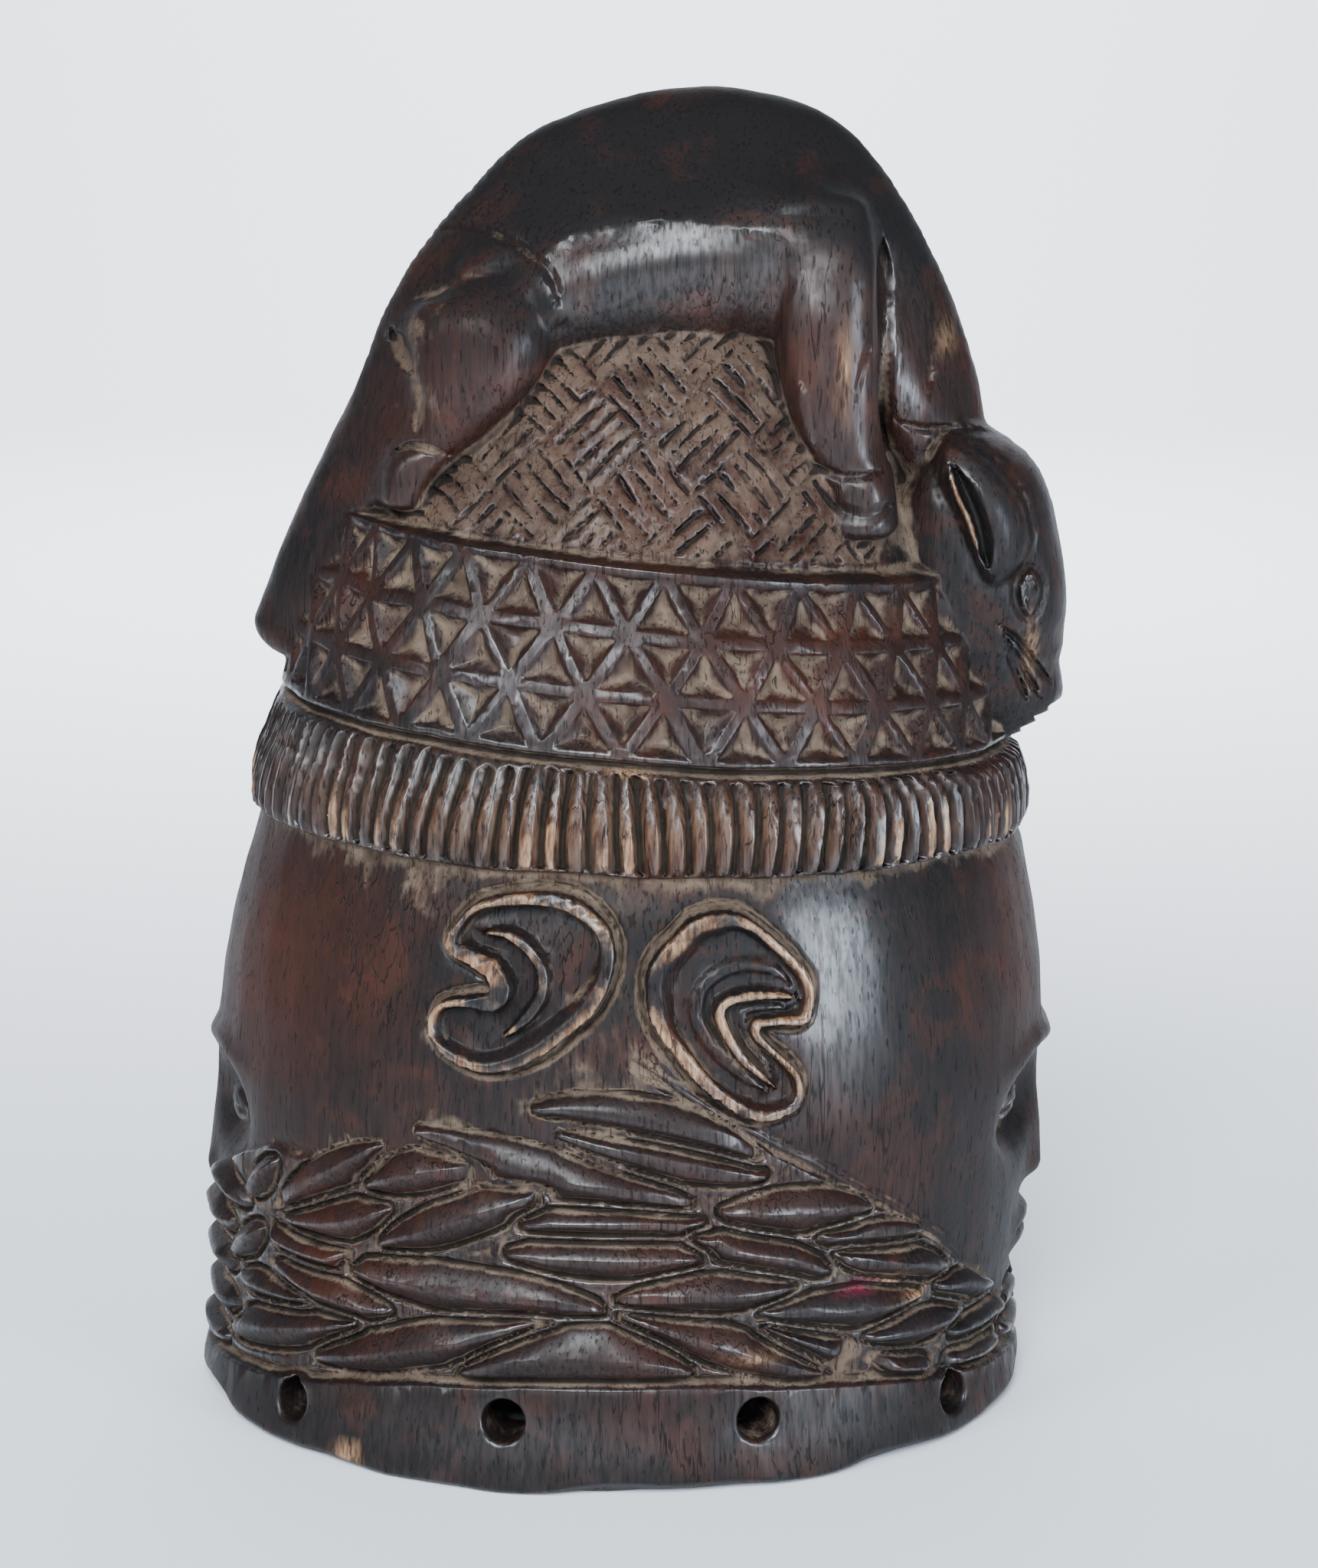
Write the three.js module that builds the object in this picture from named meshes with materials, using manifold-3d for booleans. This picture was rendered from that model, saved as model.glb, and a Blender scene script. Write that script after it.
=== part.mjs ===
// A helmet mask carved from one block of dark wood and hollowed from below: two faces back to back, four
// ears, a leafy beard, a fluted ridge, a chip-carved headband and an arched animal on the crown.
// Units are millimetres. The front face looks along +X, +Z is up, and y = 0 is the plane of symmetry.
// Angles are in degrees round the vertical, 0 at the front face, 90 at one side and 180 at the back face.

import * as THREE from 'three';
import { mergeVertices } from 'three/addons/utils/BufferGeometryUtils.js';
import Module from 'manifold-3d';

const wasm = await Module();
wasm.setup();

const { degToRad, radToDeg, lerp, clamp } = THREE.MathUtils;

// The plan is an oval. Each row of a profile is a height, half the oval's length there and its middle's x.
const planRatio = 0.85;
const wallThickness = 18;
const hollowSides = 24;
const headProfile = [
  [0, 133.5, 0], [14, 131, 0.6], [30, 128.5, 1.5], [50, 130, 3], [70, 131.5, 4], [90, 132.5, 5],
  [113, 134, 6.5], [138, 132, 7.5], [160, 128, 8.3], [176, 124, 8.8], [188, 120, 9.5],
];
const ridgeProfile = [[193, 124.5, 10], [205, 123, 10.5], [212, 119.5, 11], [220, 113, 11.5]];
const bandProfile = [[200, 118, 10.5], [222, 115.5, 11.5], [250, 108, 12], [276, 97.5, 12.5], [300, 88, 13]];
const domeProfile = [[270, 93, 12.5], [300, 80, 14], [325, 66, 15.5], [343, 50, 17], [354, 28, 18]];
const hollowProfile = [
  [-10, 116, 0], [30, 113, 1.5], [113, 114, 6.5], [160, 108, 8.3], [190, 100, 9.5], [215, 89, 10.5],
  [233, 73, 11.5], [245, 50, 12], [250, 24, 12],
];

// Points on the oval
function sample(profile, height) {
  const upper = profile.findIndex(([level]) => level >= height);
  if (upper === 0) return profile[0].slice(1);
  if (upper < 0) return profile.at(-1).slice(1);
  const [from, to] = [profile[upper - 1], profile[upper]];
  const share = (height - from[0]) / (to[0] - from[0]);
  return [lerp(from[1], to[1], share), lerp(from[2], to[2], share)];
}

function wallPoint(profile, angle, height, proud = 0) {
  const [half, centre] = sample(profile, height);
  const turn = degToRad(angle);
  return new THREE.Vector3(
    centre + (half + proud) * Math.cos(turn), (half * planRatio + proud) * Math.sin(turn), height);
}

function wallNormal(angle) {
  return new THREE.Vector3(planRatio * Math.cos(degToRad(angle)), Math.sin(degToRad(angle)), 0).normalize();
}

function evenAngles(count, shift = 0) {
  return Array.from({ length: count }, (_, column) => (360 * (column + shift)) / count);
}

// Joining and cutting
function toSolid(geometry) {
  const bare = geometry.clone();
  bare.deleteAttribute('normal');
  bare.deleteAttribute('uv');
  const merged = mergeVertices(bare, 1e-4);
  return new wasm.Manifold(new wasm.Mesh({
    numProp: 3,
    vertProperties: new Float32Array(merged.attributes.position.array),
    triVerts: new Uint32Array(merged.index.array),
  }));
}

function toGeometry(solid) {
  const mesh = solid.getMesh();
  const geometry = new THREE.BufferGeometry();
  geometry.setAttribute('position', new THREE.BufferAttribute(new Float32Array(mesh.vertProperties), 3));
  geometry.setIndex(new THREE.BufferAttribute(new Uint32Array(mesh.triVerts), 1));
  return geometry;
}

function joinAll(solids) {
  return solids.reduce((whole, solid) => whole.add(solid));
}

function bothSides(solid) {
  return [solid, solid.mirror([0, 1, 0])];
}

// A solid from points and triangles, turned so that its faces point outwards
function solidFrom(points, triangles) {
  let volume = 0;
  for (let i = 0; i < triangles.length; i += 3) {
    const [a, b, c] = triangles.slice(i, i + 3).map((corner) => points[corner]);
    volume += a.dot(new THREE.Vector3().crossVectors(b, c));
  }
  const geometry = new THREE.BufferGeometry().setFromPoints(points);
  geometry.setIndex(volume < 0 ? [...triangles].reverse() : triangles);
  return toSolid(geometry);
}

function middleOf(points) {
  return points.reduce((sum, p) => sum.add(p), new THREE.Vector3()).divideScalar(points.length);
}

// A surface that grows ring by ring. Two rings may have different numbers of points: they are stitched
// together in the order of their angles.
class Skin {
  points = [];

  triangles = [];

  addPoint(point) {
    return this.points.push(point) - 1;
  }

  ring(angles, pointAt) {
    return angles.map((angle, column) => ({ angle, index: this.addPoint(pointAt(angle, column)) }));
  }

  stitch(low, high) {
    const at = (ring, step) => ring[step % ring.length].index;
    const angleAt = (ring, step) => ring[step % ring.length].angle + 360 * Math.floor(step / ring.length);
    let [i, j] = [0, 0];
    while (i < low.length || j < high.length) {
      const lowFirst = j >= high.length || (i < low.length && angleAt(low, i + 1) <= angleAt(high, j + 1));
      if (lowFirst) {
        this.triangles.push(at(low, i), at(low, i + 1), at(high, j));
        i += 1;
      } else {
        this.triangles.push(at(low, i), at(high, j + 1), at(high, j));
        j += 1;
      }
    }
  }

  stitchAll(rings) {
    rings.slice(1).forEach((ring, step) => this.stitch(rings[step], ring));
  }

  close(ring, tip = middleOf(ring.map(({ index }) => this.points[index])), isTop = false) {
    const end = this.addPoint(tip);
    ring.forEach(({ index }, column) => {
      const beside = ring[(column + 1) % ring.length].index;
      this.triangles.push(...(isTop ? [index, beside, end] : [beside, index, end]));
    });
  }

  solid() {
    return solidFrom(this.points, this.triangles);
  }
}

// A solid through rings of points, each end closed by a fan to a tip or to the middle of its ring
function loft(rings, { startTip, endTip, looped = false } = {}) {
  const skin = new Skin();
  const angles = evenAngles(rings[0].length);
  const placed = rings.map((ring) => skin.ring(angles, (_, column) => ring[column]));
  skin.stitchAll(looped ? [...placed, placed[0]] : placed);
  if (!looped) {
    skin.close(placed[0], startTip);
    skin.close(placed.at(-1), endTip, true);
  }
  return skin.solid();
}

// A sheet of relief made into a solid: the sheet, the same sheet sunk into the wood, and sides between them
function thicken(tops, bottoms, faces) {
  const points = [...tops, ...bottoms];
  const triangles = faces.flatMap(([a, b, c]) => {
    const sunk = tops.length;
    return [a, b, c, c + sunk, b + sunk, a + sunk];
  });
  const edges = new Map();
  for (const face of faces) {
    face.forEach((from, corner) => {
      const to = face[(corner + 1) % 3];
      if (!edges.delete(`${to}-${from}`)) edges.set(`${from}-${to}`, [from, to]);
    });
  }
  for (const [from, to] of edges.values()) {
    const sunk = tops.length;
    triangles.push(to, from, from + sunk, to, from + sunk, to + sunk);
  }
  return solidFrom(points, triangles);
}

// The rim is plain and a little proud, and the beard runs from it up to a peak under the ears.
const rim = { sideHeight: 34, faceHeight: 12.7, footProud: 2, topProud: 3, ledge: 1.5 };
const beardEdge = { peakHeight: 136, peakAngle: 92, fallToFront: 1.36, fallToBack: 0.8 };

function rimTop(angle) {
  return lerp(rim.faceHeight, rim.sideHeight, Math.sin(degToRad(angle)) ** 2);
}

function beardTop(angle) {
  const away = Math.abs(angle) - beardEdge.peakAngle;
  return beardEdge.peakHeight - Math.abs(away) * (away < 0 ? beardEdge.fallToFront : beardEdge.fallToBack);
}

// A calm, plain mask face set out across the end of the head. Relief is how far the wood stands out.
const face = {
  eyeHeight: 96, eyeApart: 28, socketWide: 18, socketTall: 14, socketDeep: 13, lidWide: 11, lidTall: 5.5,
  lidProud: 8, browHeight: 115, browReach: 44, browProud: 2.5, noseTop: 110, noseTip: 69, noseFoot: 65,
  noseSlim: 5, noseBroad: 12, noseProud: 6, mouthHeight: 48, mouthWide: 18, lipTall: 3.4, lipProud: 4.5,
  chinHeight: 29, chinWide: 26, chinProud: 2,
};
const faceStrength = { front: 1, back: 0.75 };

function lobe(across, up, power = 2) {
  return Math.exp(-(Math.hypot(across, up) ** power));
}

function faceRelief(y, height) {
  const eye = Math.abs(y) - face.eyeApart;
  const socket = lobe(eye / face.socketWide, (height - face.eyeHeight) / face.socketTall, 3);
  const lid = lobe(eye / face.lidWide, (height - face.eyeHeight) / face.lidTall);
  const brow = lobe(y / face.browReach, (height - face.browHeight) / 4, 2);
  const noseShare = clamp((face.noseTop - height) / (face.noseTop - face.noseTip), 0, 1);
  const noseWidth = lerp(face.noseSlim, face.noseBroad, noseShare);
  const noseCut = clamp((height - face.noseFoot + 2) / 4, 0, 1);
  const nose = noseShare * noseCut * lobe(y / noseWidth, 0);
  const lips = [face.lipTall, -face.lipTall].map((above) =>
    lobe(y / face.mouthWide, (height - face.mouthHeight - above) / face.lipTall));
  const chin = lobe(y / face.chinWide, (height - face.chinHeight) / 7);
  return face.lidProud * lid - face.socketDeep * socket + face.browProud * brow + face.noseProud * nose
    + face.lipProud * (lips[0] + lips[1]) + face.chinProud * chin;
}

function headPoint(angle, height) {
  const point = wallPoint(headProfile, angle, height);
  const strength = point.x > 0 ? faceStrength.front : faceStrength.back;
  const isFace = Math.abs(Math.cos(degToRad(angle))) > 0.6;
  const out = isFace ? strength * faceRelief(point.y, height) : 0;
  return wallPoint(headProfile, angle, height, out);
}

// Columns stand close together on the faces and wide apart under the beard and the ears.
const faceColumns = [0, 4.5, 9, 15, 21, 30, 39, 51];
const sideColumns = [63, 76, 90, 104, 117];
const faceLevels = [44.6, 48, 51.4, 57, 65, 69, 78, 89, 96, 103, 110, 115, 122, 140, 160, 178];

function wallAngles() {
  const nearBack = faceColumns.map((angle) => 180 - angle).reverse();
  const half = [...faceColumns, ...sideColumns, ...nearBack];
  return [...half, ...half.slice(1, -1).map((angle) => 360 - angle).reverse()];
}

// Fluted ridge: upright bars round the head. It leans down towards the front, as the headband does.
const ridge = {
  flutes: 108, grooveDeep: 3.4, lean: 0.03, ledge: 189, low: 190, high: 209, shoulder: 212, top: 219,
};

// Headband: rows of triangles, each cut to a point in its middle so that a raised lattice is left
const band = {
  columns: 30, rows: 4, low: 220, high: 275, leanLow: 0.075, leanHigh: 0.11, step: 3.5,
  chipInset: 0.36, chipDeep: 3.4, coveredAtFront: 18, coveredAtBack: 165,
};

function leaning(point, lean) {
  point.z -= lean * point.x;
  return point;
}

function bandPoint(angle, row, proud = 0) {
  const share = row / band.rows;
  const point = wallPoint(bandProfile, angle, lerp(band.low, band.high, share), proud);
  return leaning(point, lerp(band.leanLow, band.leanHigh, share));
}

function addChip(skin, corners) {
  const places = corners.map((corner) => skin.points[corner]);
  const middle = middleOf(places);
  const edges = places.slice(1).map((place) => place.clone().sub(places[0]));
  const outward = new THREE.Vector3().crossVectors(...edges).normalize();
  const inner = places.map((place) => skin.addPoint(place.clone().lerp(middle, band.chipInset)));
  const pit = skin.addPoint(middle.clone().addScaledVector(outward, -band.chipDeep));
  corners.forEach((corner, side) => {
    const next = (side + 1) % 3;
    skin.triangles.push(corner, corners[next], inner[next], corner, inner[next], inner[side]);
    skin.triangles.push(inner[side], inner[next], pit);
  });
}

function addHeadband(skin) {
  const rings = Array.from({ length: band.rows + 1 }, (_, row) =>
    skin.ring(evenAngles(band.columns, (row % 2) / 2), (angle) => bandPoint(angle, row)));
  for (let row = 0; row < band.rows; row++) {
    const [odd, at] = [row % 2, (step, column) => rings[row + step][column % band.columns].index];
    for (let column = 0; column < band.columns; column++) {
      const angle = (360 * (column + 0.75)) / band.columns;
      const fromFront = Math.min(angle, 360 - angle);
      const isCovered = fromFront < band.coveredAtFront || fromFront > band.coveredAtBack;
      const cells = [
        [at(0, column), at(0, column + 1), at(1, column + odd)],
        [at(1, column), at(0, column + 1 - odd), at(1, column + 1)],
      ];
      for (const cell of cells) {
        if (isCovered) skin.triangles.push(...cell);
        else addChip(skin, cell);
      }
    }
  }
  return rings;
}

// The whole outside, from the rim's flat underside to the top of the dome
function head() {
  const skin = new Skin();
  const angles = wallAngles();
  const bandAngles = evenAngles(band.columns);
  const fluteAngles = evenAngles(2 * ridge.flutes);
  const fluteRing = (height) => skin.ring(fluteAngles, (angle, column) =>
    leaning(wallPoint(ridgeProfile, angle, height, -ridge.grooveDeep * (column % 2)), ridge.lean));
  const foot = skin.ring(angles, (angle) => wallPoint(headProfile, angle, 0, rim.footProud));
  const wall = [
    foot,
    skin.ring(angles, (angle) => wallPoint(headProfile, angle, rimTop(angle) - 2 * rim.ledge, rim.topProud)),
    skin.ring(angles, (angle) => headPoint(angle, rimTop(angle) + rim.ledge)),
    skin.ring(angles, (angle) => headPoint(angle, lerp(rimTop(angle) + rim.ledge, faceLevels[0], 0.6))),
    ...faceLevels.map((height) => skin.ring(angles, (angle) => headPoint(angle, height))),
    skin.ring(angles, (angle) => leaning(wallPoint(headProfile, angle, ridge.ledge), ridge.lean)),
    fluteRing(ridge.low),
    fluteRing(ridge.high),
    skin.ring(evenAngles(3 * band.columns), (angle) =>
      leaning(wallPoint(ridgeProfile, angle, ridge.shoulder), ridge.lean)),
    skin.ring(bandAngles, (angle) => leaning(wallPoint(ridgeProfile, angle, ridge.top), band.leanLow)),
  ];
  const bandRings = addHeadband(skin);
  const dome = [
    bandRings.at(-1),
    skin.ring(bandAngles, (angle) => bandPoint(angle, band.rows, -band.step)),
    ...domeProfile.slice(1).map(([height]) =>
      skin.ring(bandAngles, (angle) => wallPoint(domeProfile, angle, height))),
  ];
  skin.stitchAll([...wall, bandRings[0]]);
  skin.stitchAll(dome);
  skin.close(foot);
  skin.close(dome.at(-1), undefined, true);
  return skin.solid();
}

function hollow() {
  const inward = (1 - planRatio) * wallThickness;
  return loft(hollowProfile.map(([height, half, centre]) =>
    evenAngles(hollowSides).map((angle) => new THREE.Vector3(
      centre + half * Math.cos(degToRad(angle)),
      (half * planRatio - inward) * Math.sin(degToRad(angle)), height))));
}

// Drilled holes round the rim. The flats of each bore stand at its true radius.
const rimHole = { radius: 6.5, length: 50, share: 0.68, sides: 8 };
const rimHoleAngles = [0, 36, 70, 104, 138];

function rimHoles() {
  const mirrored = rimHoleAngles.map((angle) => (angle ? 360 - angle : 180));
  return [...rimHoleAngles, ...mirrored].map((angle) => {
    const corner = rimHole.radius / Math.cos(Math.PI / rimHole.sides);
    const bore = new THREE.CylinderGeometry(corner, corner, rimHole.length, rimHole.sides);
    const up = new THREE.Vector3(0, 1, 0);
    bore.applyQuaternion(new THREE.Quaternion().setFromUnitVectors(up, wallNormal(angle)));
    const middle = wallPoint(headProfile, angle, rimHole.share * rimTop(angle), -wallThickness / 2);
    bore.translate(middle.x, middle.y, middle.z);
    return toSolid(bore);
  });
}

// Beard: diamond-shaped leaves with a crest, meeting at their points. Rows are half a leaf apart in height
// and in angle, and a leaf in an odd place of an even row, or the other way round, fills each diamond.
const beard = {
  halfLength: 17, rowStep: 9.5, firstRow: 30, rows: 12, places: 4, fallToFront: 0.5, fallToBack: 0.35,
  groove: 2, crest: 6, sunk: -3,
};

function beardHeight(row, angle) {
  const away = angle - beardEdge.peakAngle;
  const fall = Math.abs(away) * (away < 0 ? beard.fallToFront : beard.fallToBack);
  return beard.firstRow + beard.rowStep * row - fall;
}

function beardSheet() {
  const [tops, bottoms, faces, known] = [[], [], [], new Map()];
  const place = (row, step, proud) => {
    const key = `${row} ${step}`;
    if (!known.has(key)) {
      const angle = beardEdge.peakAngle + beard.halfLength * step;
      known.set(key, tops.push(wallPoint(headProfile, angle, beardHeight(row, angle), proud)) - 1);
      bottoms.push(wallPoint(headProfile, angle, beardHeight(row, angle), beard.sunk));
    }
    return known.get(key);
  };
  for (let row = 0; row < beard.rows; row++) {
    for (let step = -beard.places; step <= beard.places; step++) {
      const angle = beardEdge.peakAngle + beard.halfLength * step;
      const height = beardHeight(row, angle);
      const isLeaf = (row + step) % 2 === 0;
      if (!isLeaf || height > beardTop(angle) - 6 || height < rimTop(angle) + 4) continue;
      const [left, right] = [-1, 1].map((side) => place(row, step + side, beard.groove));
      const [under, over] = [-1, 1].map((side) => place(row + side, step, beard.groove));
      const crest = [-0.4, 0, 0.4].map((share) =>
        place(row, step + share, beard.crest * (share ? 0.8 : 1)));
      faces.push([left, under, crest[0]], [left, crest[0], over]);
      faces.push([right, crest[2], under], [right, over, crest[2]]);
      faces.push([crest[0], under, crest[1]], [crest[1], under, crest[2]]);
      faces.push([crest[0], crest[1], over], [crest[1], crest[2], over]);
    }
  }
  return thicken(tops, bottoms, faces);
}

// Strips and leaves of relief follow places that each have a point and a normal.
function onSide(x, height) {
  const [half, centre] = sample(headProfile, height);
  const angle = radToDeg(Math.acos((x - centre) / half));
  return { point: wallPoint(headProfile, angle, height), normal: wallNormal(angle) };
}

function sidewaysAt(places, step, looped) {
  const wrap = (index) => (looped ? (index + places.length) % places.length
    : clamp(index, 0, places.length - 1));
  const forward = places[wrap(step + 1)].point.clone().sub(places[wrap(step - 1)].point);
  return new THREE.Vector3().crossVectors(places[step].normal, forward).normalize();
}

// A raised strip: flat on top, with sloping sides that run into the wood
function strip(places, { width, rise, looped = false }) {
  const section = [[-0.6, -2], [-0.3, rise], [0.3, rise], [0.6, -2]];
  const rings = places.map(({ point, normal }, step) => {
    const sideways = sidewaysAt(places, step, looped);
    return section.map(([across, out]) =>
      point.clone().addScaledVector(sideways, across * width).addScaledVector(normal, out));
  });
  return loft(rings, { looped });
}

// The mask's ears: an oval rim with a notch towards its own face, and a bent ridge inside
const earRim = { width: 5, rise: 4.5, looped: true, steps: 12, lip: 0.28, notchDepth: 0.3 };
const earRidge = { width: 4, rise: 4, steps: 5, lip: 0.8, size: 0.5 };
const ears = [
  { x: 36, z: 149, long: 33, short: 21, lean: 24, notch: -22 },
  { x: -22, z: 156, long: 31, short: 23, lean: -40, notch: 232 },
];

function ear({ x, z, long, short, lean, notch }) {
  const [tilt, open] = [degToRad(lean), degToRad(notch)];
  const oval = (turn, size) => {
    const [u, v] = [size * short * Math.cos(turn), size * long * Math.sin(turn)];
    return onSide(x + u * Math.cos(tilt) - v * Math.sin(tilt), z + u * Math.sin(tilt) + v * Math.cos(tilt));
  };
  const sweep = ({ steps, lip }, size) => Array.from({ length: steps }, (_, step) =>
    oval(open + lerp(lip, 2 * Math.PI - lip, step / (steps - 1)), size));
  const outline = [...sweep(earRim, 1), oval(open, earRim.notchDepth)];
  return [strip(outline, earRim), strip(sweep(earRidge, earRidge.size), earRidge)];
}

// A rounded body along a path in the x-z plane. A station is x, z, half the thickness across the path in
// that plane, and half the width along y.
function limb(stations, { y = 0, sides = 10, fullness = 0.85 } = {}) {
  const bulge = (value) => Math.sign(value) * Math.abs(value) ** fullness;
  return loft(stations.map(([x, z, thick, wide], step) => {
    const before = stations[Math.max(step - 1, 0)];
    const after = stations[Math.min(step + 1, stations.length - 1)];
    const forward = new THREE.Vector3(after[0] - before[0], 0, after[1] - before[1]).normalize();
    return evenAngles(sides).map((angle) => {
      const out = thick * bulge(Math.cos(degToRad(angle)));
      const along = wide * bulge(Math.sin(degToRad(angle)));
      return new THREE.Vector3(x - forward.z * out, y + along, z + forward.x * out);
    });
  }));
}

// The animal: an arched back from the tail to the neck, a hanging head, and a fore and a hind leg each side
const backPath = [
  [-99, 245, 14, 21], [-91, 262, 15, 26], [-76, 290, 17, 32], [-60, 315, 20, 38], [-41, 342, 27, 46],
  [-11, 361, 39, 52], [10.5, 368, 42, 54], [28, 370, 43, 54], [45, 369, 42, 53], [58, 362, 39, 50],
  [71, 351, 33, 45], [84, 336, 27, 39], [95.5, 319, 21, 34], [102, 303, 17, 29],
];
const headPath = [
  [104, 313, 14, 30], [107, 305, 17.5, 35], [109, 294, 25, 38], [111, 281, 29, 39], [113, 262, 31, 37],
  [114, 245, 30, 33], [118, 232, 26, 28], [122, 223, 21, 23],
];
const jawPath = [[118, 228, 18, 20], [116, 219, 17.5, 19], [114, 212, 15.5, 17]];
const hindLeg = [
  [-34, 366, 11, 7], [-37, 350, 21, 16.5], [-39, 334, 22, 18.5], [-45, 321, 16, 16], [-52, 310, 9.5, 13],
  [-57, 301, 7.5, 11], [-59, 292, 7.5, 11],
];
const foreLeg = [
  [64, 372, 8, 6], [66, 356, 14.5, 14], [67, 340, 15, 15.5], [68.5, 318, 14, 15.5], [72, 306, 10.5, 15],
  [77, 298, 12, 17], [78.5, 289, 12, 17.5], [78, 282, 8, 16],
];
const legApart = { hind: 36, fore: 39 };
const animalEar = { top: [104, 37, 309], tip: [119, 37, 266], width: 18, rise: 4 };
const animalEye = { place: [132, 29, 258], radii: [5, 4, 8] };

function animal() {
  const [top, tip] = [animalEar.top, animalEar.tip].map((place) => new THREE.Vector3(...place));
  const normal = new THREE.Vector3(0.25, 1, 0).normalize();
  const earPlaces = [0.25, 0.5, 0.75].map((share) => ({ point: top.clone().lerp(tip, share), normal }));
  const earRings = earPlaces.map(({ point }, step) => {
    const sideways = sidewaysAt(earPlaces, step).multiplyScalar(animalEar.width / 2);
    return [point.clone().add(sideways), point.clone().addScaledVector(normal, animalEar.rise),
      point.clone().sub(sideways), point.clone().addScaledVector(normal, -animalEar.rise)];
  });
  const eye = new THREE.SphereGeometry(1, 6, 4).scale(...animalEye.radii).translate(...animalEye.place);
  return [
    limb(backPath, { sides: 14 }),
    limb(headPath, { sides: 12 }),
    limb(jawPath),
    ...bothSides(limb(hindLeg, { y: legApart.hind })),
    ...bothSides(limb(foreLeg, { y: legApart.fore })),
    ...bothSides(loft(earRings, { startTip: top, endTip: tip })),
    ...bothSides(toSolid(eye)),
  ];
}

function carving() {
  const relief = [beardSheet(), ...ears.flatMap(ear)].flatMap(bothSides);
  return joinAll([head(), ...relief, ...animal()]).subtract(joinAll([hollow(), ...rimHoles()]));
}

const wood = new THREE.MeshStandardMaterial({ color: 0x2b1d15, roughness: 0.45, metalness: 0 });
const mask = new THREE.Mesh(toGeometry(carving()), wood);
mask.name = 'mask';

// The middle of the whole box stands over the origin.
mask.geometry.computeBoundingBox();
mask.position.x = -(mask.geometry.boundingBox.min.x + mask.geometry.boundingBox.max.x) / 2;

const model = new THREE.Group();
model.add(mask);

export default model;
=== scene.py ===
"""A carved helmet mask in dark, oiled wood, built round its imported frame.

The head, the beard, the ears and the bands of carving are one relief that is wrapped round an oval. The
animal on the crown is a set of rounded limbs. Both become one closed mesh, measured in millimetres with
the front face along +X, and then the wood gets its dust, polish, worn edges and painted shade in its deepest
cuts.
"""

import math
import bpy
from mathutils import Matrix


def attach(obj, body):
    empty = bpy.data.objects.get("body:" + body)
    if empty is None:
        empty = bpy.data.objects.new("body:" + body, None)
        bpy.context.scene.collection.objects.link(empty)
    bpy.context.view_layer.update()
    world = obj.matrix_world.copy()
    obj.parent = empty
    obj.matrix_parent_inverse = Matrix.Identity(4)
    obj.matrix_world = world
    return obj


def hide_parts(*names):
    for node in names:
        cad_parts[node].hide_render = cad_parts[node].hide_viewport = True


bl_info = {
    "name": "Carved helmet mask",
    "version": (1, 0, 0),
    "blender": (4, 5, 0),
    "location": "3D View > Sidebar > Mask",
    "description": "Carves a helmet mask with a beard, a headband and an animal on its crown",
    "category": "Add Mesh",
}

import bpy
import numpy as np
from mathutils import Vector

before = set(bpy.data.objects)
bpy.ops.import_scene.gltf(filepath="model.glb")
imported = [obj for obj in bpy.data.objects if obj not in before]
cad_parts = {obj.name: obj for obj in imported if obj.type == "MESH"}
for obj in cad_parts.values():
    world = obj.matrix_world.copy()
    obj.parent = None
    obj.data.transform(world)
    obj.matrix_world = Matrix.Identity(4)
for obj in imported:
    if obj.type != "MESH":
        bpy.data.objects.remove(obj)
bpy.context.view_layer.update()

MM = 0.001
# The carving is drawn round its own middle, and the frame round the middle of its box.
SHIFT = -4.196457
OVAL = 0.85


# Curves and smooth steps


def soft(value):
    """A smooth step from 0 to 1."""
    share = np.clip(value, 0, 1)
    return share * share * (3 - 2 * share)


def hill(*offsets, power=2):
    """A round bump, 1 in its middle."""
    return np.exp(-(sum(offset * offset for offset in offsets) ** (power / 2)))


def least(a, b, reach):
    """The lesser of two distances, with a fillet where they are alike."""
    share = np.clip(0.5 + 0.5 * (b - a) / reach, 0, 1)
    return b + (a - b) * share - reach * share * (1 - share)


def most(a, b, reach):
    return -least(-a, -b, reach)


def ripple(x, y, z, length, seed, stretch=1.0):
    """Slow waves with no direction, for the wandering of a hand tool. They are stretched along z."""
    draw = np.random.default_rng(seed)
    total = 0
    for _ in range(5):
        push = draw.normal(size=3)
        push *= 2 * math.pi / (length * np.linalg.norm(push) * draw.uniform(0.7, 1.5))
        total = total + np.sin(push[0] * x + push[1] * y + push[2] / stretch * z + draw.uniform(0, 6.28))
    return total / 5


def between(stations, place):
    """A value that runs straight from each station to the next. A station is a place and its value."""
    return np.interp(place, *np.array(stations).T)


def scatter(number, pace=12.9898, spread=43758.5453):
    """A share from 0 to 1 that jumps about as the number grows, and is the same each time."""
    return np.sin(number * pace) * spread % 1


OTHER_SCATTER = (78.233, 12543.123)


def smooth_path(stations, closed=False, steps=14):
    """A curve through all the stations."""
    points = np.array(stations, float)
    if closed:
        before, after = points[-1:], points[:2]
    else:
        before, after = 2 * points[:1] - points[1:2], 2 * points[-1:] - points[-2:-1]
    padded = np.concatenate([before, points, after])
    share = np.linspace(0, 1, steps, endpoint=False)[:, None]
    spans = [
        0.5 * (2 * b + (c - a) * share + (2 * a - 5 * b + 4 * c - d) * share**2
               + (3 * b - a - 3 * c + d) * share**3)
        for a, b, c, d in zip(padded, padded[1:], padded[2:], padded[3:])
    ]
    return np.concatenate(spans + ([] if closed else [points[-1:]]))


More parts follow.
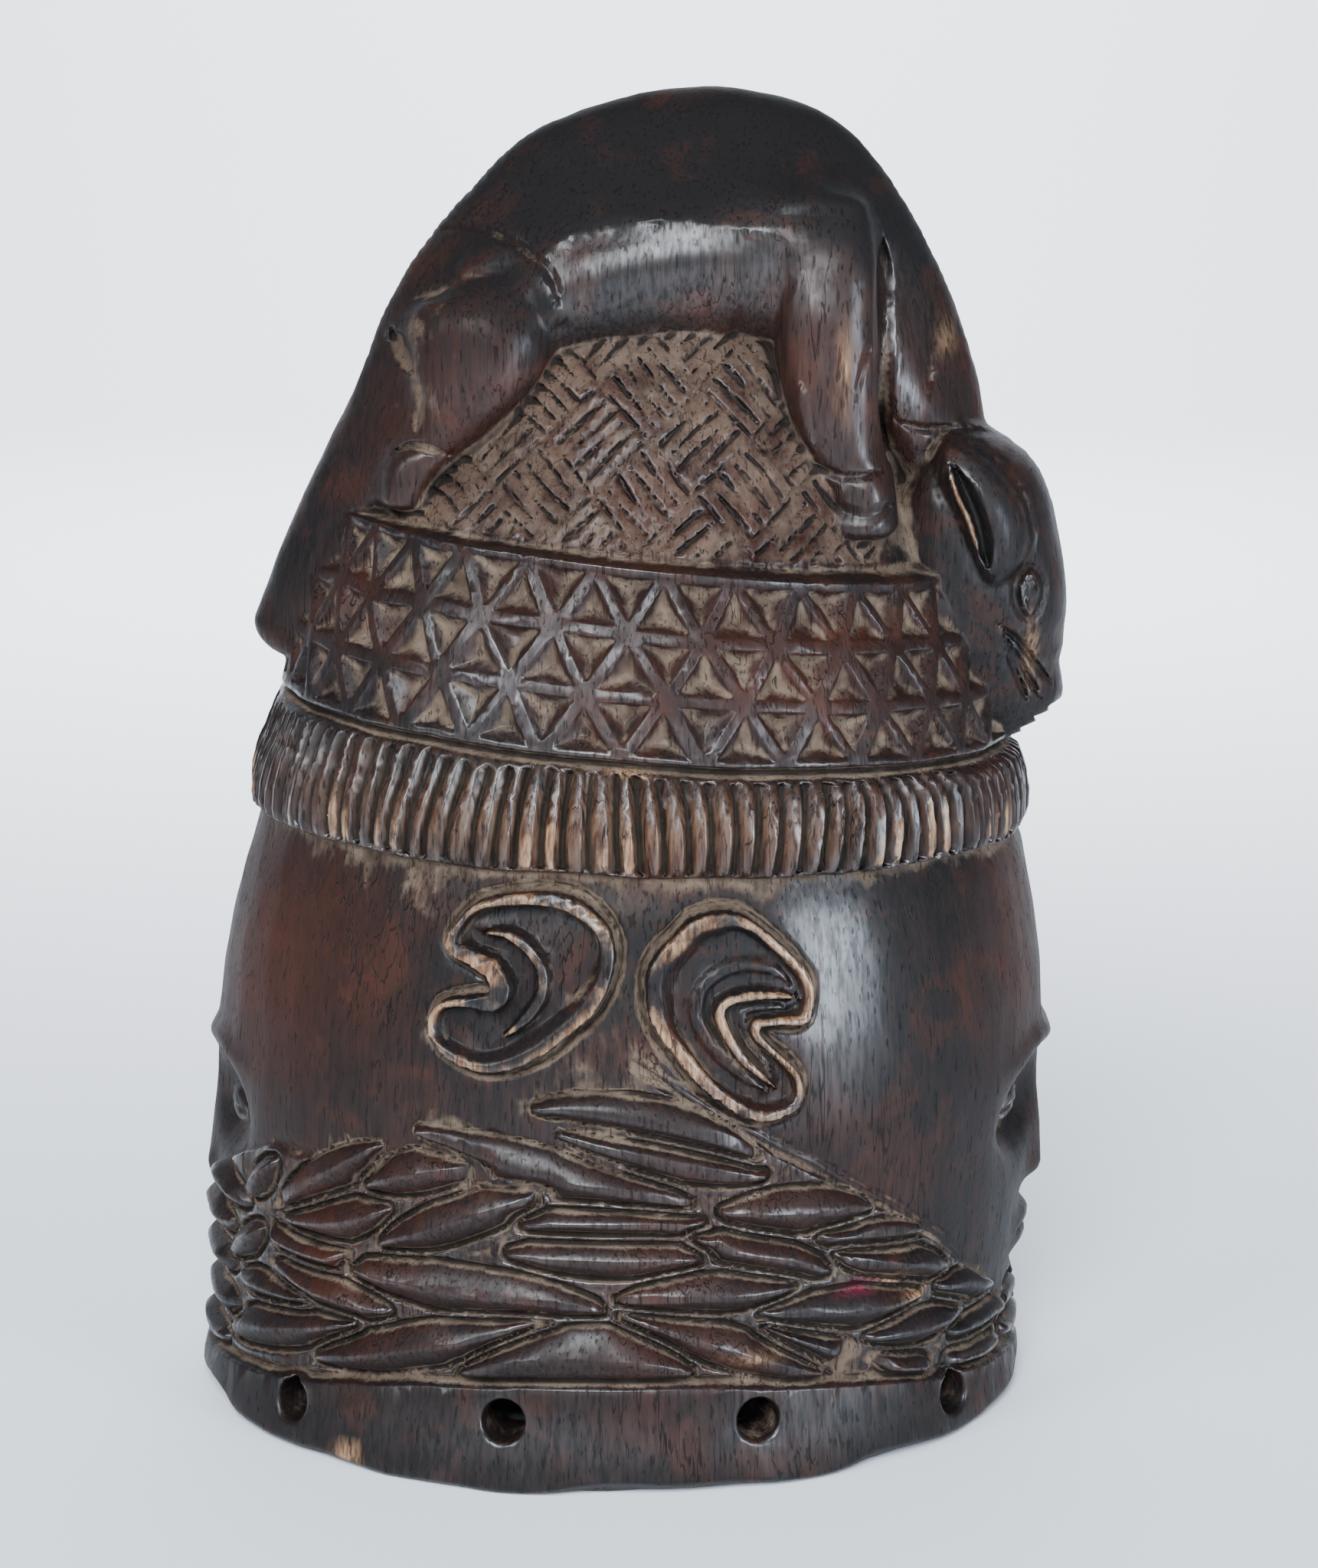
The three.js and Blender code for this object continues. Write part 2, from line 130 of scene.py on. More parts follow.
class Row:
    """Values that change with one measure, such as the head's size with height."""

    def __init__(self, stations, low, high, soften=0.0, step=0.5):
        table = np.array(stations, float)
        at = np.arange(low, high + step, step)
        values = np.stack([np.interp(at, table[:, 0], column) for column in table[:, 1:].T], 1)
        if soften:
            width = int(3 * soften / step)
            bell = np.exp(-0.5 * (np.arange(-width, width + 1) * step / soften) ** 2)
            padded = np.pad(values, ((width, width), (0, 0)), mode="edge")
            values = np.stack([np.convolve(column, bell / bell.sum(), "valid") for column in padded.T], 1)
        slopes = np.gradient(values[:, 0], step)
        self.low, self.step = low, step
        self.values = np.column_stack([values, slopes]).astype(np.float32)

    def at(self, place):
        place = np.clip((place - self.low) / self.step, 0, len(self.values) - 1.001)
        index = place.astype(np.int32)
        share = (place - index)[..., None]
        found = self.values[index] * (1 - share) + self.values[index + 1] * share
        return [found[..., column] for column in range(found.shape[-1])]


class Chart:
    """Values over a plane, such as how far each limb is from a place seen from the side."""

    def __init__(self, values, low, step):
        self.shape = values.shape[:2]
        self.flat = np.ascontiguousarray(values.reshape(self.shape[0] * self.shape[1], -1), np.float32)
        self.low, self.step = low, step

    def at(self, across, up):
        spots = []
        for place, low, step, size in zip((across, up), self.low, self.step, self.shape):
            spot = np.clip((place - low) / step, 0, size - 1.001)
            index = spot.astype(np.int32)
            spots.append((index, (spot - index)[:, None].astype(np.float32)))
        (i, s), (j, t) = spots
        at = i * self.shape[1] + j
        near = self.flat[at] * (1 - t) + self.flat[at + 1] * t
        at += self.shape[1]
        far = self.flat[at] * (1 - t) + self.flat[at + 1] * t
        found = near * (1 - s) + far * s
        return [found[:, column] for column in range(found.shape[1])]


def plane(low, high, steps):
    """Every place of a grid over a plane: two arrays."""
    return np.meshgrid(*[np.arange(a, b + step, step) for a, b, step in zip(low, high, steps)], indexing="ij")


def charted(work, low, high, steps):
    """What a function finds at every place of a plane, as one chart."""
    return Chart(np.stack(work(*plane(low, high, steps)), -1), low, steps)


def nearest(path, across, up):
    """How far the nearest point of a path is from each place, and which one it is."""
    best = np.full(across.shape, 1e9)
    which = np.zeros(across.shape, int)
    for number, (x, z) in enumerate(path[:, :2]):
        away = (across - x) ** 2 + (up - z) ** 2
        closer = away < best
        best[closer] = away[closer]
        which[closer] = number
    return np.sqrt(best), which


def encloses(path, across, up):
    """True where a closed path goes round a place."""
    inside = np.zeros(across.shape, bool)
    for (x0, z0), (x1, z1) in zip(path, np.roll(path, -1, 0)):
        if z0 != z1:
            crossing = x0 + (up - z0) / (z1 - z0) * (x1 - x0)
            inside ^= ((z0 > up) != (z1 > up)) & (across < crossing)
    return inside


def depth_in(outline, across, up):
    """How deep a place lies inside a closed outline. It is negative outside."""
    path = smooth_path(outline, closed=True, steps=6)
    away = nearest(path, across, up)[0]
    return np.where(encloses(path[:, :2], across, up), away, -away)


def stroke(line, across, up, width, tapered=0.35, edge=1.5):
    """1 along the middle of a line and 0 beyond its width, thinner towards its ends."""
    path = smooth_path(line, steps=8)
    away, which = nearest(path, across, up)
    share = which / (len(path) - 1)
    wide = width * soft(np.minimum(share, 1 - share) / tapered + 0.25)
    return soft(edge * (1 - away / np.maximum(wide, 0.05)))


def only_where(mask, work, places, *sizes):
    """Works only where the mask is true, because most of a chart is bare. Elsewhere it is zero."""
    found = np.array(work(*[place[mask] for place in places], *sizes))
    total = np.zeros((*found.shape[:-1], *mask.shape))
    total[..., mask] = found
    return total


# The head. A station is a height, half the oval's length there and its middle's x.

HEAD = [
    (-12, 133.6, 0), (0, 133.5, 0), (14, 131, 0.6), (30, 128.5, 1.5), (50, 130, 3), (70, 131.5, 4),
    (90, 132.5, 5), (113, 134, 6.5), (138, 132, 7.5), (160, 128, 8.3), (176, 124, 8.8), (188, 120, 9.5),
    (200, 117.2, 10.2), (212, 114.8, 11), (222, 113.4, 11.5), (250, 105.3, 12), (275, 94.2, 12.5),
    (300, 80, 14), (325, 66, 15.5), (343, 50, 17), (354, 28, 18), (360, 8, 18), (366, -10, 18),
    (372, -30, 18),
]
HOLLOW = [
    (-12, 116, 0), (30, 113, 1.5), (113, 114, 6.5), (160, 108, 8.3), (190, 100, 9.5), (215, 89, 10.5),
    (233, 73, 11.5), (245, 50, 12), (250, 24, 12), (254, -8, 12), (260, -20, 12),
]
# How much each level leans down towards the front
LEAN = [(178, 0), (189, 0.03), (212, 0.03), (219, 0.075), (221, 0.075), (275, 0.11), (305, 0.03), (330, 0)]
RIM_FRONT, RIM_SIDE, RIM_PROUD = 12.7, 34.0, 2.6
RIDGE_PROUD = [
    (188.4, 0), (189.6, 4.2), (193, 5.8), (199, 6.8), (205, 6.8), (209, 6.3), (213, 5.2), (217, 3.6),
    (219, 1.8), (220.6, 0),
]
BAND_LOW, BAND_HIGH, BAND_ROWS = 222.8, 276.2, 3
BAND_EDGES, BAND_ARC = (221.6, 278.4), 1.86
RIM_TO, CROWN_FROM = 45, 195  # the rim's holes are below the first, and the animal above the second
HOLE_TURNS = [0, 36, 70, 104, 138, 180, 222, 256, 290, 324]
HOLE_LEVEL = 0.68  # share of the rim's height
HOLE_MIDDLE, HOLE_HALF = 8, 24  # how far in from the wall's face its middle is, and half its length
TURN_STEP, LEVEL_STEP, LEVELS = 0.2, 0.4, (-8.0, 372.0)
WALL = Row(HEAD, *LEVELS, soften=2.5)
ARC = 2.27  # millimetres round the wall to one degree at the middle of a side, as BAND_ARC is on the band


def side_angle(turn):
    """The angle from the front on either side, 0 to 180."""
    return np.where(turn < 180, turn, 360 - turn)


def rim_top(side):
    return RIM_FRONT + (RIM_SIDE - RIM_FRONT) * np.sin(np.radians(side)) ** 2


def beard_top(side):
    away = side - 92
    slope = 137 - np.abs(away) * np.where(away < 0, 1.42, 0.8)
    chin = np.where(side < 90, 35, 66 + 29 * soft((163 - side) / 8))
    return np.where(side < 90, np.maximum(slope, chin), np.minimum(slope, chin))


# Beard: each leaf from tip to tip, as an angle round from the front and a level, and then how far it swells
# above and below the line between its tips.
LEAF_FULLNESS, LEAF_SPREAD, LEAF_REACH, RIB_HALF = 1.08, 3.8, 12, 1.3
LEAVES = [
    (150, 76, 143, 90, 3, 3), (142.5, 75.5, 123.4, 103.6, 4.8, 4.4), (124.6, 91.6, 108.1, 102.2, 7, 2.6),
    (122, 73.6, 99.7, 96.3, 5.4, 4.2), (142.1, 73.6, 121.7, 85, 2.4, 7.5), (145, 68, 128, 66.5, 1, 6),
    (158.7, 49.5, 146, 67, 3.4, 3.4), (144.2, 54.7, 121.8, 51.6, 4.6, 4.4),
    (128.5, 63.5, 91.8, 59.3, 6.8, 4.2), (155.1, 47, 136, 47.2, 3.2, 3.6),
    (158.7, 26, 127.5, 44.9, 5.5, 4.5), (134, 31, 98.4, 53.8, 5.6, 4.8), (110.2, 36, 80, 38.6, 15, 1),
    (101.5, 121.5, 73.5, 105, 9.5, 0.5), (98.3, 114.3, 72.4, 99.9, 4.4, 4.2),
    (117, 111.1, 81.5, 90.8, 5.6, 5), (102.5, 85.7, 79.9, 85.6, 5.2, 2.6),
    (103.9, 75.8, 79.7, 74.9, 4.4, 3.6), (76.9, 89.3, 56.5, 84.7, 5.6, 4.4),
    (80.2, 80.8, 61.8, 66.9, 3.6, 3.4), (62.9, 77.9, 47, 72.7, 2.6, 2.4), (60.3, 71, 40.1, 57, 4.4, 3),
    (90, 61.4, 66.6, 62.9, 5, 3.8), (70.2, 54, 45.4, 51.7, 4.8, 4.6), (89.5, 58, 60.2, 31.6, 4.4, 3.8),
    (69.9, 50, 51.5, 30.5, 3, 3), (53.6, 40.9, 34.4, 40, 3.6, 4), (57.8, 36.6, 38.4, 22.4, 2.6, 3.4),
    (35.5, 33, 18.3, 31, 4, 3.6), (39.2, 22.9, 21, 21.7, 3, 3), (41, 52, 21, 41, 4, 3.6),
    (19, 22, 1, 19, 3.4, 2.6), (17, 29.5, 1, 27, 2.8, 2.8), (157, 61, 177, 60, 4.4, 4.6),
    (157.5, 47.5, 177, 47, 4.6, 5), (156, 33.5, 178, 33, 4.4, 4.8), (160, 21, 179, 20.5, 4, 3.6),
    (151.5, 72, 166, 75, 4.2, 3.6),
]


def leaf_distances(side, level):
    """The two nearest leaves' distances, and how wide the nearest one is there."""
    across = (side - 90) * ARC
    first = np.full(side.shape, 30.0)
    second = first.copy()
    wide = np.ones(side.shape)
    for turn0, z0, turn1, z1, over, under in LEAVES:
        if turn0 > turn1:
            turn0, z0, turn1, z1 = turn1, z1, turn0, z0
        x0, x1 = (turn0 - 90) * ARC, (turn1 - 90) * ARC
        near = (across > x0 - LEAF_REACH) & (across < x1 + LEAF_REACH)
        near &= (level > min(z0, z1) - under - LEAF_REACH) & (level < max(z0, z1) + over + LEAF_REACH)
        dx, dz = across[near] - x0, level[near] - z0
        length = math.hypot(x1 - x0, z1 - z0)
        ux, uz = (x1 - x0) / length, (z1 - z0) / length
        along = (dx * ux + dz * uz) / length
        swell = np.clip(4 * along * (1 - along), 0, 1) ** 0.8
        half = LEAF_FULLNESS * (over + under) / 2 * swell
        off = dz * ux - dx * uz - (over - under) / 2 * swell
        beyond = np.maximum(-along, along - 1).clip(0) * length
        gap = np.where(beyond > 0, np.hypot(off, beyond), np.abs(off) - half)
        wide[near] = np.where(gap < first[near], half, wide[near])
        second[near] = np.minimum(second[near], np.maximum(first[near], gap))
        first[near] = np.minimum(first[near], gap)
    return first, second, wide


def beard_relief(side, level, sizes):
    """Swelling leaves, each in a groove, and narrow ribs between them with a line cut along the widest."""
    first, second, wide = leaf_distances(side, level)
    inward = np.minimum(LEAF_SPREAD - first, (second - first) / 2) - RIB_HALF
    outward = (first + wide).clip(0)
    inside = inward.clip(0)
    fall = outward / (outward + inside + 0.01)
    crest = (0.35 * (1 - fall**3) + 0.65 * (1 - fall)) * np.clip((outward + inside) / 6, 0, 1) ** 0.5
    crest = crest * (inward > 0)
    rib = soft((-inward - 0.1) / 1.1)
    line = hill((second - first) / 0.75) * soft((first - 4.4) / 1.2)
    groove = hill((inward - 0.1) / 0.8)
    return sizes.leaf_height / MM * crest + sizes.rib_height / MM * rib - 0.9 * groove - 0.7 * line, crest


# Face: calm and plain, set out from the heights of its parts

BROW_LEVEL, EYE_LEVEL, MOUTH_LEVEL, CHIN_LEVEL = 115, 96, 48, 29
NOSE_TOP, WING_LEVEL, NOSE_FOOT = 110, 70, 63
EYE_ACROSS, WING_ACROSS, LIP = 28, 8, 3.4


def face_relief(across, up):
    """How far a plain face stands out of the wall. across is measured from its middle."""
    eye, high = np.abs(across) - EYE_ACROSS, up - EYE_LEVEL
    socket = hill(eye / 19, high / 14, power=3)
    lid = hill(eye / 12.5, high / 6, power=3)
    almond = np.clip(1 - (eye / 12) ** 2, 0, 1) * 3.4
    slit = soft(1.2 - np.abs(high + 0.5) / 0.9) * (np.abs(eye) < 11)
    edge = hill((np.abs(high) - almond - 1.2) / 1.0) * (np.abs(eye) < 12)
    brow = hill((up - BROW_LEVEL - 3 * hill(eye / 14)) / 4) * hill(across / 46, power=4)
    run = np.clip((NOSE_TOP - up) / 41, 0, 1)
    nose = run * soft((up - NOSE_FOOT) / 4) * hill(across / (5 + 7 * run))
    wing = hill((np.abs(across) - WING_ACROSS) / 4.5, (up - WING_LEVEL) / 4.5)
    upper, lower = [hill(across / 18, (up - MOUTH_LEVEL - above) / LIP) for above in (LIP, -LIP)]
    parting = hill((up - MOUTH_LEVEL) / 0.9) * hill(across / 16, power=4)
    chin = hill(across / 26, (up - CHIN_LEVEL) / 7)
    return (8 * lid - 13 * socket + 1.0 * edge - 1.6 * slit + 3 * brow + 6 * nose + 1.6 * wing
            + 4.5 * (upper + lower) - 1.2 * parting + 2 * chin)


# Ears seen from the side. An outline's stations are x, z, the rim's width there and the width of the slope
# inside it. A fold or a hollow is a line, half its width, and its height or depth.

EAR_MARGIN = 6
EAR_RIM_DRAWN = 0.0036  # the rim width that the widths below are drawn for
REAR_EAR = {
    "outline": [
        (-45, 169, 3.6, 1.4), (-42.3, 174.3, 2.6, 1.3), (-36.6, 180, 2.4, 1.3), (-26.4, 183.4, 3.2, 1.4),
        (-14.1, 184.5, 4.2, 1.5), (-5.2, 181.6, 4.6, 1.6), (1.5, 175.8, 4.6, 1.6), (3.7, 167.8, 4.6, 1.8),
        (2.4, 159.8, 4, 3), (-1.4, 151.8, 4.2, 4.5), (-9, 144.1, 3.6, 5), (-17, 137.6, 3.6, 5),
        (-26.9, 132.5, 3.6, 4), (-36, 131.6, 3.2, 3), (-44.6, 134.8, 3.2, 2), (-49.9, 139.4, 2.4, 1.4),
        (-49.9, 146.1, 1.9, 1.3), (-46.4, 151.3, 2, 1.3), (-38.9, 153.6, 3.6, 1.3),
        (-32.7, 155.2, 6.6, 1.5), (-33.6, 159.1, 6.6, 1.5), (-38.9, 162.6, 5.6, 1.5),
        (-44.1, 165.4, 4.6, 1.5),
    ],
    "folds": [
        ([(-35, 171.8), (-27.5, 171.9), (-21.9, 168.8), (-18.1, 164.4), (-16.8, 159.2), (-17.9, 154.1),
          (-20.8, 149.6), (-24.2, 145.9), (-29.1, 142)], 3.1, 3.6),
    ],
    "hollows": [
        ([(-36, 167.5), (-28, 165), (-23.3, 159), (-23.8, 153), (-28, 147.5), (-35, 143.5)], 3.4, 2.2),
        ([(-37.7, 174.6), (-28.7, 177.6), (-17.4, 175), (-9.5, 168), (-9, 158), (-14, 150)], 5, 2.2),
    ],
}
FRONT_EAR = {
    "outline": [
        (11.9, 160.2, 4.2, 6), (14.8, 167.2, 4, 6), (19.9, 172.7, 4, 6), (25.9, 177.8, 4, 6),
        (34.8, 179.3, 4, 5), (42.1, 176.2, 2.8, 2.5), (49.3, 170.1, 2.6, 1.5), (55.4, 163.7, 2.4, 1.4),
        (59.5, 157.4, 2.3, 1.3), (59.8, 151.1, 2.2, 1.3), (57.2, 144.8, 3.2, 1.3), (47.1, 145, 3.2, 1.3),
        (44.6, 144.2, 3, 1.3), (49.4, 138.3, 2.1, 1.2), (55.1, 131.8, 2.1, 1.2), (57.4, 125.4, 2.6, 1.3),
        (55.2, 119.9, 3.2, 1.5), (48.4, 116.8, 3.8, 1.6), (40.5, 118.1, 4, 1.8), (32.6, 123.4, 4, 2),
        (25.9, 129.9, 4, 2.5), (20.3, 137.3, 3.6, 3.5), (15.9, 143, 3.4, 4.5), (12.6, 150.3, 3.8, 6),
    ],
    "folds": [
        ([(56.5, 152.5), (48.2, 154.2), (40.4, 154.4), (34.8, 152.9), (33, 149.6), (35, 144.1),
          (38.8, 137.2), (43.8, 131.9), (49.9, 126.3)], 2.7, 3.8),
        ([(53.9, 156.5), (49.3, 161), (41.5, 163), (33.7, 161.4), (28.1, 156.6), (26.5, 150), (29.2, 143.3),
          (34.8, 136.3), (41.6, 129.7), (48.3, 125.1)], 3.2, 1.5),
        ([(54, 149.6), (46, 150.4), (40.2, 149), (41.3, 142.3), (44.9, 136.8), (50.6, 129)], 2, 1.3),
    ],
    "hollows": [
        ([(51, 164), (42, 168.5), (30, 166), (23, 158), (22.5, 148), (27.5, 138), (36, 129), (43, 123)],
         3.4, 2),
        ([(51, 157), (42, 158.7), (33, 157), (29.6, 150.5), (32, 142), (38.5, 132.8), (45, 126.6)], 1.9, 2),
        ([(52, 151.2), (42, 151.7), (37, 149.6), (38.2, 143.5), (42, 136.6), (48, 130)], 1.3, 1.6),
        ([(53, 148.6), (43, 149), (41.8, 146.4), (44.6, 141), (51, 132)], 1.2, 1.6),
    ],
}


def one_ear(x, z, ear, sizes):
    """An ear's relief, how much each place is rim or fold, and how much it is sunk floor, which gets painted
    shade.
    """
    path = smooth_path(ear["outline"], closed=True, steps=10)
    away, which = nearest(path, x, z)
    deep = np.where(encloses(path[:, :2], x, z), away, -away) + 0.35 * ripple(x, 0, z, 13, 12)
    wide, slope = path[which, 2] * sizes.rim_width / EAR_RIM_DRAWN, path[which, 3]
    height = sizes.rim_height / MM
    floor = soft((deep - wide) / slope)
    rim = soft((deep + 0.5) / 1.1) * (1 - floor)
    low = np.max([depth * stroke(line, x, z, half, 0.3) for line, half, depth in ear["hollows"]], 0)
    high = np.max([rise * stroke(line, x, z, 0.88 * half, 0.3, 1.7) for line, half, rise in ear["folds"]], 0)
    relief = np.maximum(height * rim + floor * (0.3 - low), high * soft(deep / 1.2))
    line = 1.7 * hill((deep + 1.3) / 1.1) * (deep < 0)
    return relief - line, np.maximum(rim, soft(high - 2)), floor * soft(1.6 - high)


def ear_relief(x, z, sizes):
    """The same for both ears of a side."""
    total = np.zeros((3, *x.shape))
    for ear in (REAR_EAR, FRONT_EAR):
        low, high = np.min(ear["outline"], 0) - EAR_MARGIN, np.max(ear["outline"], 0) + EAR_MARGIN
        near = (x > low[0]) & (x < high[0]) & (z > low[1]) & (z < high[1])
        total += only_where(near, one_ear, (x, z), ear, sizes)
    return total


def ridge_relief(turn, level, wander, sizes):
    """Upright bars with broad, worn facets, and how much each place is bar, groove that gets painted shade,
    or rubbed facet.
    """
    place = turn * sizes.flutes / 360 + 0.14 * wander + 0.012 * (level - 200) * np.sin(np.radians(turn * 7))
    number = np.floor(place)
    odd, other = scatter(number), scatter(number, *OTHER_SCATTER)
    share = (place % 1 - 0.5) * (1 + 0.3 * (odd - 0.5)) + 0.08 * (other - 0.5)
    facet = 0.28 + 0.16 * np.clip(1 - ((level - 201 - 4 * odd) / 13) ** 2, 0, 1) + 0.12 * (other - 0.5)
    across = np.abs(share) * 2  # 0 at the bar's middle
    fall = np.clip((across - facet) / np.where(share < 0, 0.92 - facet, 0.8 - facet), 0, 1)
    tilt = 1.1 * share * (across < facet) * (1 + odd)
    depth = sizes.groove_depth / MM * (0.8 + 0.35 * odd)
    fade = soft((218.4 + 1.2 * (other - 0.5) - level) / 1.4) * soft((level - 188.6 - 1.4 * other) / 1.2)
    top = (1 - soft((across - facet) / 0.16)) * fade
    rubbed = top * (0.3 + 0.7 * (other > 0.62)) * (0.35 + 0.6 * soft((206 + 8 * odd - level) / 12))
    return (-depth * fall + tilt - 0.9 * odd) * fade, 0.6 * (1 - top) * fade, rubbed


def band_relief(turn, level, wander, sizes):
    """Triangular pits, each cut from three sides to a point, and the flat lattice left between them."""
    columns, row_height = sizes.columns, (BAND_HIGH - BAND_LOW) / BAND_ROWS
    pitch = 360 / columns * BAND_ARC
    tall = (level - BAND_LOW) / row_height + 0.04 * wander
    row = np.floor(tall)
    up = tall - row
    place = turn * columns / 360 + 0.75 - (row % 2) / 2 + 0.04 * wander
    lean = math.cos(math.atan2(pitch / 2, row_height)) * pitch
    deep = np.zeros(turn.shape)
    for shift, rise in ((0, up), (0.5, 1 - up)):
        cell = np.floor(place + shift)
        share = place + shift - cell
        odd = scatter(cell + 37 * row + 11 * shift)
        other = scatter(cell + 17 * row + 5 * shift, *OTHER_SCATTER)
        share = share + 0.05 * (other - 0.5)
        left, right = (share - rise / 2) * lean, (1 - share - rise / 2) * lean
        inner = np.minimum(np.minimum(left, right), rise * row_height)
        inner = inner - sizes.bar_width / MM / 2 * (0.86 + 0.36 * odd)
        cut = soft(inner / 0.7) * 0.9 + np.clip(inner - 0.4, 0, 9) * (0.7 + 0.3 * other)
        deep = np.maximum(deep, np.where(inner > 0, cut, 0))
    rows = (tall > 0) & (tall < BAND_ROWS)
    return -np.minimum(deep, sizes.chip_depth / MM) * rows


WEAVE_MIDDLE, WEAVE_BLOCK = (-3.1, 311.1), ((16.4, 15.2), (14.5, -15.5))  # the last are a block's sides


def weave_relief(x, z, wander, sizes):
    """A basket weave: blocks of parallel strips that turn at each block."""
    along, up = x - WEAVE_MIDDLE[0] + 0.9 * wander, z - WEAVE_MIDDLE[1] + 0.7 * wander
    (ax, az), (bx, bz) = WEAVE_BLOCK
    size = ax * bz - az * bx
    first, second = (along * bz - up * bx) / size + 0.5, (ax * up - az * along) / size + 0.5
    turned = (np.floor(first) + np.floor(second)) % 2 > 0
    block = np.floor(first) * 7 + np.floor(second) * 13
    share, length = np.where(turned, first, second) % 1, np.where(turned, second, first) % 1
    share = np.clip(share + 0.05 * np.sin(block * 3.1) * (length - 0.5), 0.001, 0.999)
    number = np.floor(share * sizes.strips)
    odd = scatter(block + number)
    strips = (share * sizes.strips + 0.12 * np.sin(length * 5 + 9 * odd)) % 1
    ends = np.minimum(length, 1 - length) - 0.05 * odd
    groove = soft(1.25 - (6.6 - 1.6 * odd) * np.minimum(strips, 1 - strips)) * soft(ends / 0.05)
    border = hill(np.minimum(np.minimum(share, 1 - share), np.minimum(length, 1 - length)) / 0.03)
    tilt = 0.3 * odd + 0.22 * strips
    return -sizes.weave_depth / MM * np.maximum(np.maximum(groove, 0.7 * border), tilt)


def blend_in(low, value, high, edge):
    """1 from low to high and 0 outside, with soft edges."""
    return soft((value - low) / edge) * soft((high - value) / edge)


def whole_relief(turn, level, scene):
    """The relief at angles round from the front and levels, and the measures its finish is mixed by."""
    side, angle = side_angle(turn), np.radians(turn)
    half, centre, _ = WALL.at(level)
    x, y = centre + half * np.cos(angle), OVAL * half * np.sin(angle)
    z = level - between(LEAN, level) * x
    wander = ripple(x, y, z, 26, 3)
    edge = level + 0.8 * ripple(x, y, z, 34, 4)

    top = rim_top(side)
    relief = RIM_PROUD * soft((top + 1 - edge) / 1.8) - 1.2 * hill((edge - top - 2) / 1.3)
    relief -= 4.6 * soft((5 + 5 * ripple(x, y, z, 44, 11) - level) / 6)

    above_rim, rise = soft((edge - top - 1.5) / 1.6), edge - beard_top(side)
    bearded = above_rim * soft(-rise / 1.5)
    leaves, leafy = only_where(
        (bearded > 0.001) | (level < 140) & (level > 10) & (side > 20),
        beard_relief, (side, level + 0.5 * wander), scene.mask_beard)
    bearded = np.maximum(bearded, above_rim * (leafy > 0) * blend_in(35, side, 170, 4))
    border = (hill((rise - 0.6) / 0.8) + 0.8 * hill((rise - 4.2) / 0.8)) * blend_in(34, side, 92, 6)
    border += 0.7 * hill((rise - 1) / 1.6) * blend_in(92, side, 168, 6)
    relief += bearded * (leaves - 0.6) - 1.1 * border * (leafy < 0.05)

    front = soft((np.abs(np.cos(angle)) - 0.6) / 0.08) * np.where(x > 0, 1, 0.75)
    relief += front * face_relief(y, level) * (1 - 0.9 * bearded) * soft((184 - level) / 14)

    ears, ear_rims, ear_floors = ear_relief(x, z, scene.mask_ears)
    relief += ears

    ringed = (edge > 184) & (edge < 220)
    bars, painted_shade_no_dust, rubbed = only_where(ringed, ridge_relief, (turn, edge, wander), scene.mask_ridge)
    relief += between(RIDGE_PROUD, edge) + bars

    band_edge = level + 0.35 * wander
    banded = blend_in(BAND_EDGES[0], band_edge, BAND_EDGES[1], 1.2)
    share = np.clip((level - BAND_LOW) / (BAND_HIGH - BAND_LOW), 0, 1)
    chips = only_where(banded > 0, band_relief, (turn, level, wander), scene.mask_band)
    under, over = band_edge - BAND_EDGES[0], band_edge - BAND_EDGES[1]
    lip = 0.9 * hill((over + 1.6) / 1.1) - 1.4 * hill((over - 0.8) / 0.9)
    relief += banded * (2.1 + 1.5 * share + chips) + lip - 1.5 * hill((under + 1) / 1.1)

    woven = soft((level - 280) / 1.2) * blend_in(-68, x, 84, 3)
    relief += only_where(woven > 0, weave_relief, (x, z, wander), scene.mask_weave) * woven

    plain = (1 - bearded) * (1 - banded) * (1 - woven)
    relief += 0.45 * ripple(x, y, z, 22, 5, 2.5) + (0.1 + 0.12 * plain) * ripple(x, y, z, 7, 6, 3)
    worn = np.maximum(rubbed, 0.8 * ear_rims)
    # Painted shade: the ridge's grooves, the band's pits, the beard's leaves and the ears' floors are marked
    # for darker colour and less dust.
    painted_shade_no_dust = painted_shade_no_dust + 0.12 * banded * soft(-chips / 1.6) + 0.5 * bearded * soft(5 * leafy)
    return relief, worn, bearded * (1 - leafy), woven, painted_shade_no_dust + 0.7 * ear_floors


# Animal: each limb's stations are x, z, half its thickness and half its width.

BACK = [
    (-99, 245, 14, 21), (-91, 262, 15, 26), (-76, 290, 17, 32), (-60, 315, 20, 38), (-41, 342, 27, 46),
    (-11, 361, 39, 52), (10.5, 368, 42, 54), (28, 370, 43, 54), (45, 369, 42, 53), (58, 362, 39, 50),
    (71, 351, 33, 45), (84, 336, 27, 39), (95.5, 319, 21, 34), (102, 303, 17, 29),
]
ANIMAL_HEAD = [
    (103, 311, 10, 26), (106, 304.5, 14.5, 33), (109, 294, 24.5, 38), (111, 281, 29, 39),
    (113, 262, 31, 37), (114.5, 245, 30.5, 33), (118, 232, 27.5, 28.5), (122, 222.5, 23.5, 24),
    (123.5, 217, 21, 20),
]
JAW = [(118, 228, 18, 20), (116, 219, 17.5, 19), (114, 212, 15.5, 17)]
HIND_LEG = [
    (-37, 358, 8, 6), (-36, 352, 17, 15), (-36.5, 344, 21.5, 19.5), (-38, 334, 21.5, 20.5),
    (-42.5, 322, 16.5, 19), (-47.5, 313, 12, 16.5), (-53, 305.5, 8.5, 15), (-58.5, 299.5, 8.5, 15.5),
    (-60.5, 292, 8, 15),
]
